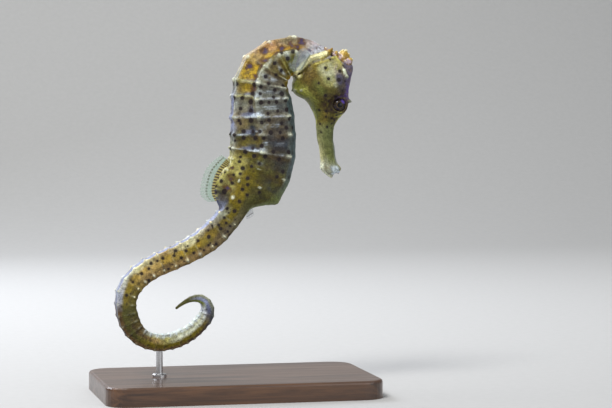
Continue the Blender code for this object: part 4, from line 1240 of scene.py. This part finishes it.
# %% Crown material: gold in the hollows, cream at the points
crown_material, tree, shader = new_material("crown skin")
rise = attribute(tree, "pale")
patch = noise(place_in(tree), 950.0, 2.0)
colour = blend(patch.mask(0.44, 0.56), tint("mauve"), tint("ochre"))
colour = blend(rise.mask(0.45, -0.1), colour, tint("soil"))
high = blend(patch.mask(0.48, 0.66), tint("gold"), tint("straw"))
colour = blend(rise.mask(0.55, 1.2), colour, high)
colour = blend(rise.mask(1.9, 2.9), colour, tint("cream"))
pore_height, _ = grained(tree, 0.3, 0.6)
feed(shader, {"Base Color": mottled(tree, colour, 0.5, 0.4), "Normal": bump(pore_height, 0.4, 0.00012),
              "Roughness": 0.5, "Coat Weight": 0.2, "Coat Roughness": 0.3, "Subsurface Weight": 0.08,
              **FLESH})
finish_piece("crown", crown_mesh, crown_material, "coronet", slot="coronet_skin")
print("crown material:", len(tree.nodes), "nodes")

# %% [markdown]
# ## Fins
# The fins are thin clear webs over fine rays. The web of each is a thin closed plate, and its rays are
# grown by Geometry Nodes from one line each, because a ray is the same thing repeated along a path.

# %% Webs
RAY_STEPS = 4                # points of the grid from ray to ray


def fin_grid(shape, ray_count, rows, flare=0.0, side=0):
    """Rows of points from the root to the margin of a fin; with a side it leans away from the body."""
    grid = np.zeros((rows, ray_count * RAY_STEPS + 1, 3))
    for col, t in enumerate(np.linspace(0, 1, grid.shape[1])):
        root, lean, tall = shape(t)
        for row, share in enumerate(np.linspace(0, 1, rows)):
            reach, bow = tall * share, 0.12 * math.sin(share * math.pi)
            grid[row, col] = (root[0] + math.cos(lean) * reach * math.cos(flare),
                              root[1] + side * (reach * math.sin(flare) + bow),
                              root[2] + math.sin(lean) * reach * math.cos(flare))
    return grid


def web_mesh(name, grid, thick, material, *replaced):
    """A thin closed plate over a grid of points, thinner towards its margin."""
    up, run = np.meshgrid(*(np.linspace(0, 1, n) for n in grid.shape[:2]), indexing="ij")
    half_thick = (thick * (1 - 0.55 * up[..., None])) / 2 * (0.0, 1.0, 0.0)
    mesh = closed_mesh(name, *plate(grid + half_thick, grid - half_thick))
    label(mesh, grid.reshape(-1, 3), up_fin=up.ravel(), along_fin=run.ravel())
    return finish_piece(name, mesh, material, *replaced, slot="fin_membrane")


def fin_material(name, web, ray_count, alpha, foot_up, inner):
    """A clear web with a straw foot up to foot_up, a dotted line, and an inner part less clear."""
    material, tree, shader = new_material(name)
    up, run = attribute(tree, "up_fin"), attribute(tree, "along_fin")
    near_ray = (run * float(ray_count)).maths("PINGPONG", 1.0).mask(0.75, 0.25)
    foot = blend(up.mask(foot_up, foot_up - 0.07), mottled(tree, tint(web), 0.6, 0.2), tint("straw"))
    dashes = near_ray.ramp(0.0, 0.6, 0.15, 0.95) * run.ramp(0.1, 0.9, 1.0, 0.55)
    line = (up - 0.67).maths("ABSOLUTE").mask(0.065, 0.030) * dashes
    colour = blend(line, foot, tint("deep_olive"))
    colour = blend(up.mask(foot_up - 0.01, foot_up - 0.06) * near_ray, colour, tint("umber"))
    solid = up.mask(foot_up + 0.02, foot_up - 0.06).maths("MAXIMUM", line)
    solid = solid.maths("MAXIMUM", up.mask(0.72, 0.60) * inner)
    feed(shader, {"Base Color": colour, "Alpha": solid.ramp(0.0, 1.0, alpha, 0.95), "Roughness": 0.35,
                  "Coat Weight": 0.5, "Coat Roughness": 0.2})
    return material


DORSAL_FROM, DORSAL_TO, DORSAL_HEIGHT, DORSAL_RAYS, DORSAL_ROWS = 9.3, 11.75, 5.0, 18, 13
ANAL_FROM, ANAL_TO, ANAL_HEIGHT, ANAL_RAYS = 11.05, 11.4, 1.7, 4
PECTORAL_HEIGHT, PECTORAL_RAYS, PECTORAL_OUT = 3.9, 16, 5.7


def section_end(ring_no, corner_no):
    """How far up from the spine a corner of the section lies."""
    return float(half_sections(np.array([ring_no]))[0, corner_no, 1])


def dorsal_shape(t):
    r = DORSAL_FROM + (DORSAL_TO - DORSAL_FROM) * t
    root = beside_spine(r, 0.0, section_end(r, 0) - 0.35)
    tall = DORSAL_HEIGHT * (0.50 + 0.44 * soft(t, -0.05, 0.5) + 0.06 * t) + 0.65
    tall = tall * (1 - 0.34 * max(0.0, (t - 0.78) / 0.22) ** 2.4)
    return root, math.radians(140 + 44 * soft(t, -0.1, 0.9)), float(tall)


def anal_shape(t):
    r = ANAL_FROM + (ANAL_TO - ANAL_FROM) * t
    root = beside_spine(r, 0.0, section_end(r, -1) + 0.4)
    return root, math.radians(-75 - 22 * t), float(ANAL_HEIGHT * (1 - 0.25 * (2 * t - 1) ** 4) + 0.7)


def pectoral_grid(sign):
    low, high = (np.array((x, sign * PECTORAL_OUT, z)) for x, z in ((17.6, 87.0), (19.9, 90.6)))

    def shape(t):
        tall = PECTORAL_HEIGHT * (1 - 0.28 * (2 * t - 1) ** 4)
        return low + (high - low) * t, math.radians(196 - 62 * t), tall

    return fin_grid(shape, PECTORAL_RAYS, 11, math.radians(14), sign)


dorsal_grid = fin_grid(dorsal_shape, DORSAL_RAYS, DORSAL_ROWS)
scallop = 0.10 * np.cos(np.linspace(0, DORSAL_RAYS, dorsal_grid.shape[1]) * 2 * math.pi)
dorsal_grid[-1] += (dorsal_grid[-1] - dorsal_grid[-2]) * (scallop - 0.12)[:, None] * 3
dorsal_grid[:, :, 1] += (0.10 * np.sin(np.linspace(0, 9, dorsal_grid.shape[1]))[None]
                         * np.linspace(0, 1, DORSAL_ROWS)[:, None] ** 2)
dorsal_web = fin_material("back fin web", "foam", DORSAL_RAYS * 2, 0.26, 0.45, 0.35)
small_web = fin_material("small fin web", "lilac", PECTORAL_RAYS * 2, 0.10, 0.14, 0.06)
fins = [("back_fin", dorsal_grid, 0.16, dorsal_web, "dorsal_fin"),
        ("belly_fin", fin_grid(anal_shape, ANAL_RAYS, 9), 0.14, small_web, "anal_fin"),
        ("cheek_fin_right", pectoral_grid(-1), 0.12, small_web, "pectoral_fin_right"),
        ("cheek_fin_left", pectoral_grid(1), 0.12, small_web, "pectoral_fin_left")]
for fin in fins:
    web_mesh(*fin)
print("fins:", ", ".join(fin[0] for fin in fins))

# %% [markdown]
# ## Fin rays by Geometry Nodes
# Each ray is one line of points that carries its own thickness. The tree turns the lines into curves,
# sweeps a small circle along them, and sets the material. A second tree, used below, puts a small
# rounded nub on each of a cloud of points. Both end in plain meshes.

# %% Trees for rays and nubs
def finish_tree(tree, given, result, mesh):
    """End a tree with plain meshes that carry their material."""
    real = add(tree, "GeometryNodeRealizeInstances", {"Geometry": mesh}, "Geometry")
    feed(result, {"Geometry": add(tree, "GeometryNodeSetMaterial",
                                  {"Geometry": real, "Material": given["Material"]}, "Geometry")})


def named(tree, name, kind):
    return add(tree, "GeometryNodeInputNamedAttribute", {"Name": name}, "Attribute", data_type=kind)


ray_tree, given, result = new_tree("Geometry", "fin rays", [
    ("Geometry", "Geometry", None), ("Radius", "Float", 0.0001), ("Sides", "Int", 6),
    ("Material", "Material", None)], [("Geometry", "Geometry")])
curve = add(ray_tree, "GeometryNodeMeshToCurve", {"Mesh": given["Geometry"]}, "Curve")
thickness = named(ray_tree, "thick", "FLOAT")
curve = add(ray_tree, "GeometryNodeSetCurveRadius", {"Curve": curve, "Radius": thickness}, "Curve")
circle = add(ray_tree, "GeometryNodeCurvePrimitiveCircle",
             {"Resolution": given["Sides"], "Radius": given["Radius"]}, "Curve")
sweep = add(ray_tree, "GeometryNodeCurveToMesh",
            {"Curve": curve, "Profile Curve": circle, "Fill Caps": True}, "Mesh")
if "Scale" in sweep.socket.node.inputs:
    feed(sweep.socket.node, {"Scale": thickness})
finish_tree(ray_tree, given, result, sweep)

nub_tree, given, result = new_tree("Geometry", "nubs", [
    ("Geometry", "Geometry", None), ("Smoothness", "Int", 2), ("Material", "Material", None)],
    [("Geometry", "Geometry")])
ball = add(nub_tree, "GeometryNodeMeshIcoSphere", {"Radius": 1.0, "Subdivisions": given["Smoothness"]},
           "Mesh")
aim = add(nub_tree, "FunctionNodeAlignRotationToVector", {"Vector": named(nub_tree, "out", "FLOAT_VECTOR")},
          "Rotation", axis="Z")
finish_tree(nub_tree, given, result, add(nub_tree, "GeometryNodeInstanceOnPoints", {
    "Points": given["Geometry"], "Instance": ball, "Rotation": aim,
    "Scale": named(nub_tree, "size", "FLOAT_VECTOR")}, "Instances"))


def grow(name, mesh, tree, **sizes):
    """Run a tree on a mesh once and hand back the result as a plain mesh."""
    source = put(name + "_source", mesh)
    modifier = source.modifiers.new("grow", "NODES")
    modifier.node_group = tree
    for item in tree.interface.items_tree:
        if item.in_out == "INPUT" and item.name in sizes:
            modifier[item.identifier] = sizes[item.name]
    bpy.context.view_layer.update()
    seen = source.evaluated_get(bpy.context.evaluated_depsgraph_get())
    grown = bpy.data.meshes.new_from_object(seen)
    source.modifiers.remove(modifier)
    bpy.data.objects.remove(source)
    grown.name = name
    return grown


print("trees:", len(ray_tree.nodes), "nodes for rays,", len(nub_tree.nodes), "for nubs")

# %% Rays
ray_material, tree, shader = new_material("fin ray")
feed(shader, {"Base Color": mottled(tree, tint("foam"), 0.4, 0.4), "Roughness": 0.4, "Coat Weight": 0.3,
              "Coat Roughness": 0.25})


def ray_lines(name, grid):
    verts, edges, thick = [], [], []
    for col in range(0, grid.shape[1], RAY_STEPS):
        for row in range(grid.shape[0]):
            if row:
                edges.append((len(verts) - 1, len(verts)))
            verts.append(tuple(grid[row, col] * MM))
            thick.append(1 - 0.72 * row / (grid.shape[0] - 1))
    mesh = bpy.data.meshes.new(name)
    mesh.from_pydata(verts, edges, [])
    per_point(mesh, "thick", thick)
    return mesh


for name, grid, *_ in fins:
    rays = grow(name + "_rays", ray_lines(name + "_lines", grid), ray_tree, Radius=0.00007, Sides=7,
                Material=ray_material)
    finish_piece(name + "_rays", rays, None, slot="fin_membrane")
    print(name, "rays:", len(rays.polygons), "faces")

# %% [markdown]
# ## Nubs on the skin
# Pale rounded nubs sit on the points of the crown, and on the tail wherever a ridge crosses the edge of
# a ring. They are sunk halfway into the skin, so that only a small dome stands out.

# %% Nubs
nub_material, tree, shader = new_material("pale nub")
feed(shader, {"Base Color": mottled(tree, tint("cream"), 0.3, 0.4), "Roughness": 0.42, "Coat Weight": 0.25,
              "Coat Roughness": 0.25, "Subsurface Weight": 0.1, "Subsurface Radius": (0.001, 0.0006, 0.0004),
              "Subsurface Scale": 1.0})
NUB_CHANCE = 0.62            # share of the places on the tail that carry a nub
nub_at, nub_out, nub_size = [], [], []
skin_normals = grid_normals(skin_grid)


def add_nub(place, out, wide_mm, tall_mm, sink):
    nub_at.append(tuple((place - out * sink) * MM))
    nub_out.append(tuple(out))
    nub_size.append((wide_mm * MM, wide_mm * MM, tall_mm * MM))


for at, turned, tall in tips:
    i = int(np.abs(crown_page[:, 0] - at).argmin())
    k = int(np.abs(crown_turn[0] - turned).argmin())
    for _ in range(3 if tall > 1.3 else 1):
        near = i + chance.integers(-2, 3), k + chance.integers(-2, 3)
        near = tuple(np.clip(near, 0, np.array(CROWN_SHAPE) - 1))
        wide_mm, tall_mm = chance.uniform(0.20, 0.32), chance.uniform(0.20, 0.32)
        add_nub(crown_top[near], crown_normals[near], wide_mm, tall_mm, 0.12)
for r in range(12, 23):                      # on the tail they sit where ridge and ring edge cross
    for corner_no in (TAIL_RIDGE, LOW_TAIL_RIDGE):
        for left in (False, True):
            row = int(np.abs(station_ring - (r + 0.55)).argmin())
            col = int(round((corner_no + chance.uniform(-0.15, 0.15)) / (CORNERS - 1) * half))
            col = col if left else (AROUND - col) % AROUND
            wide_mm = chance.uniform(0.16, 0.34)
            if chance.uniform() < NUB_CHANCE:
                add_nub(skin_grid[row, col], skin_normals[row, col], wide_mm, 0.7 * wide_mm, 0.08)
nub_points = bpy.data.meshes.new("nub_points")
nub_points.from_pydata(nub_at, [], [])
per_point(nub_points, "out", nub_out, "FLOAT_VECTOR", "vector")
per_point(nub_points, "size", nub_size, "FLOAT_VECTOR", "vector")
finish_piece("nubs", grow("nubs", nub_points, nub_tree, Smoothness=2, Material=nub_material), None,
             slot="coronet_skin")
print("nubs:", len(nub_at))

# %% [markdown]
# ## The skin takes over from the solids
# One skin stands for all the solids of flesh, so that no joint shows between head, neck, trunk and tail.

# %% Skin in place of the flesh
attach(skin, "root")
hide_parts("head", "snout", "neck_front", "neck_back", "trunk_upper", "trunk_lower", "tail_base",
            "tail_upper", "tail_bend", "tail_lower", "tail_foot", "tail_rise", "tail_hook", "tail_tip")

# %% [markdown]
# ## The stand
# The stand is a plain slab of dark stained wood with a brushed steel rod. Their solids are already the
# right shape, so they keep them and only get better materials: long grain in the wood, drawn out along
# its length, and fine turning marks round the steel.

# %% Wood and steel
def drawn_out(tree, scale, detail, more=None):
    """Noise stretched along the axes by a scale for each."""
    return noise(add(tree, "Mapping", {0: place_in(tree), 3: scale}), 1.0, detail, more)


wood, tree, shader = new_material("stained wood")
grain_lines = drawn_out(tree, (26.0, 420.0, 420.0), 6.0, {"Roughness": 0.62, "Distortion": 0.6})
bands = drawn_out(tree, (9.0, 70.0, 70.0), 3.0, {"Distortion": 1.2})
colour = blend(grain_lines.mask(0.36, 0.66), (0.028, 0.012, 0.006, 1), (0.115, 0.052, 0.022, 1))
colour = blend(bands.mask(0.35, 0.65), colour, (0.07, 0.03, 0.013, 1))
feed(shader, {"Base Color": colour, "Normal": bump(grain_lines, 0.25, 0.00015),
              "Roughness": grain_lines.ramp(0.3, 0.7, 0.42, 0.30), "Coat Weight": 0.4,
              "Coat Roughness": 0.16})

steel, tree, shader = new_material("brushed steel")
marks = drawn_out(tree, (300.0, 300.0, 22000.0), 3.0)
feed(shader, {"Base Color": blend(marks, (0.42, 0.42, 0.43, 1), (0.70, 0.70, 0.71, 1)), "Metallic": 1.0,
              "Roughness": marks.ramp(0.3, 0.7, 0.22, 0.38), "Normal": bump(marks, 0.15, 0.00002)})

for node_name, material in (("stand_base", wood), ("stand_rod", steel)):
    for material_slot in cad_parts[node_name].material_slots:
        material_slot.link = "OBJECT"
        material_slot.material = material
print("stand dressed")

# %% [markdown]
# ## Floor, light and camera
# A pale floor runs back and curves up behind the stand, like a roll of paper. One large soft light from
# the upper left models the rings, a weaker one fills from the right, and a third, cool and behind,
# draws the edge of the back. A fourth lights the paper itself. The camera looks slightly down, and
# from a little behind the shoulder.

# %% Paper floor
paper, tree, shader = new_material("pale paper")
tooth = noise(place_in(tree), 400.0, 3.0)
feed(shader, {"Base Color": blend(tooth, (0.39, 0.39, 0.385, 1), (0.43, 0.43, 0.425, 1)), "Roughness": 0.9})
BEND_STEPS, BEND_RADIUS, PAPER_SIDE = 24, 400, 2600.0
bend = [math.pi / 2 * i / BEND_STEPS for i in range(1, BEND_STEPS + 1)]
profile = [(-2400.0, 0.0), (500.0, 0.0)]
profile += [(500 + BEND_RADIUS * math.sin(turn), BEND_RADIUS * (1 - math.cos(turn))) for turn in bend]
profile.append((900.0, 1400.0))
verts = [(x * MM, y * MM, z * MM) for y, z in profile for x in (-PAPER_SIDE, PAPER_SIDE)]
faces = [(2 * i, 2 * i + 1, 2 * i + 3, 2 * i + 2) for i in range(len(profile) - 1)]
floor_mesh = bpy.data.meshes.new("paper_floor")
floor_mesh.from_pydata(verts, [], faces)
floor_mesh.polygons.foreach_set("use_smooth", [True] * len(floor_mesh.polygons))
floor_mesh.materials.append(paper)
floor = put("paper_floor", floor_mesh)

# %% Lights
LOOK_AT = Vector((19.95, 0.0, 50.65)) * MM


def aim(thing, way):
    thing.rotation_euler = way.to_track_quat("-Z", "Y").to_euler()


def area_light(name, place_mm, size_mm, watts, colour, at=LOOK_AT):
    light = bpy.data.lights.new(name, "AREA")
    light.shape, light.size, light.energy, light.color = "SQUARE", size_mm * MM, watts, colour
    lamp = put(name, light)
    lamp.location = Vector(place_mm) * MM
    aim(lamp, at - lamp.location)


area_light("key", (-260, -300, 560), 200, 4.2, (1.0, 0.985, 0.96))
area_light("fill", (320, -480, 120), 420, 0.9, (0.96, 0.98, 1.0))
area_light("rim", (-180, 360, 330), 240, 2.0, (0.86, 0.90, 1.0))
area_light("wall", (0, 250, 620), 700, 3.8, (1.0, 1.0, 1.0), Vector((0.0, 0.85, 0.15)))
world = bpy.data.worlds.new("soft room")
world.use_nodes = True
world.node_tree.nodes["Background"].inputs[0].default_value = (0.86, 0.89, 0.93, 1)
world.node_tree.nodes["Background"].inputs[1].default_value = 0.42
bpy.context.scene.world = world
bpy.context.scene.view_settings.view_transform = "Standard"
print("lights:", ", ".join(light.name for light in bpy.data.lights))

# %% Camera
camera_data = bpy.data.cameras.new("camera")
camera_data.sensor_width, camera_data.lens = 36.0, 130.72
camera_data.clip_start, camera_data.clip_end = 0.01, 20.0
turn, tilt, away = math.radians(13), math.radians(3), 600 * MM
looking = Vector((math.sin(turn) * math.cos(tilt), math.cos(turn) * math.cos(tilt), -math.sin(tilt)))
camera = put("camera", camera_data)
camera.location = LOOK_AT - looking * away
aim(camera, looking)
bpy.context.scene.camera = camera
print("camera at", [round(c, 3) for c in camera.location])
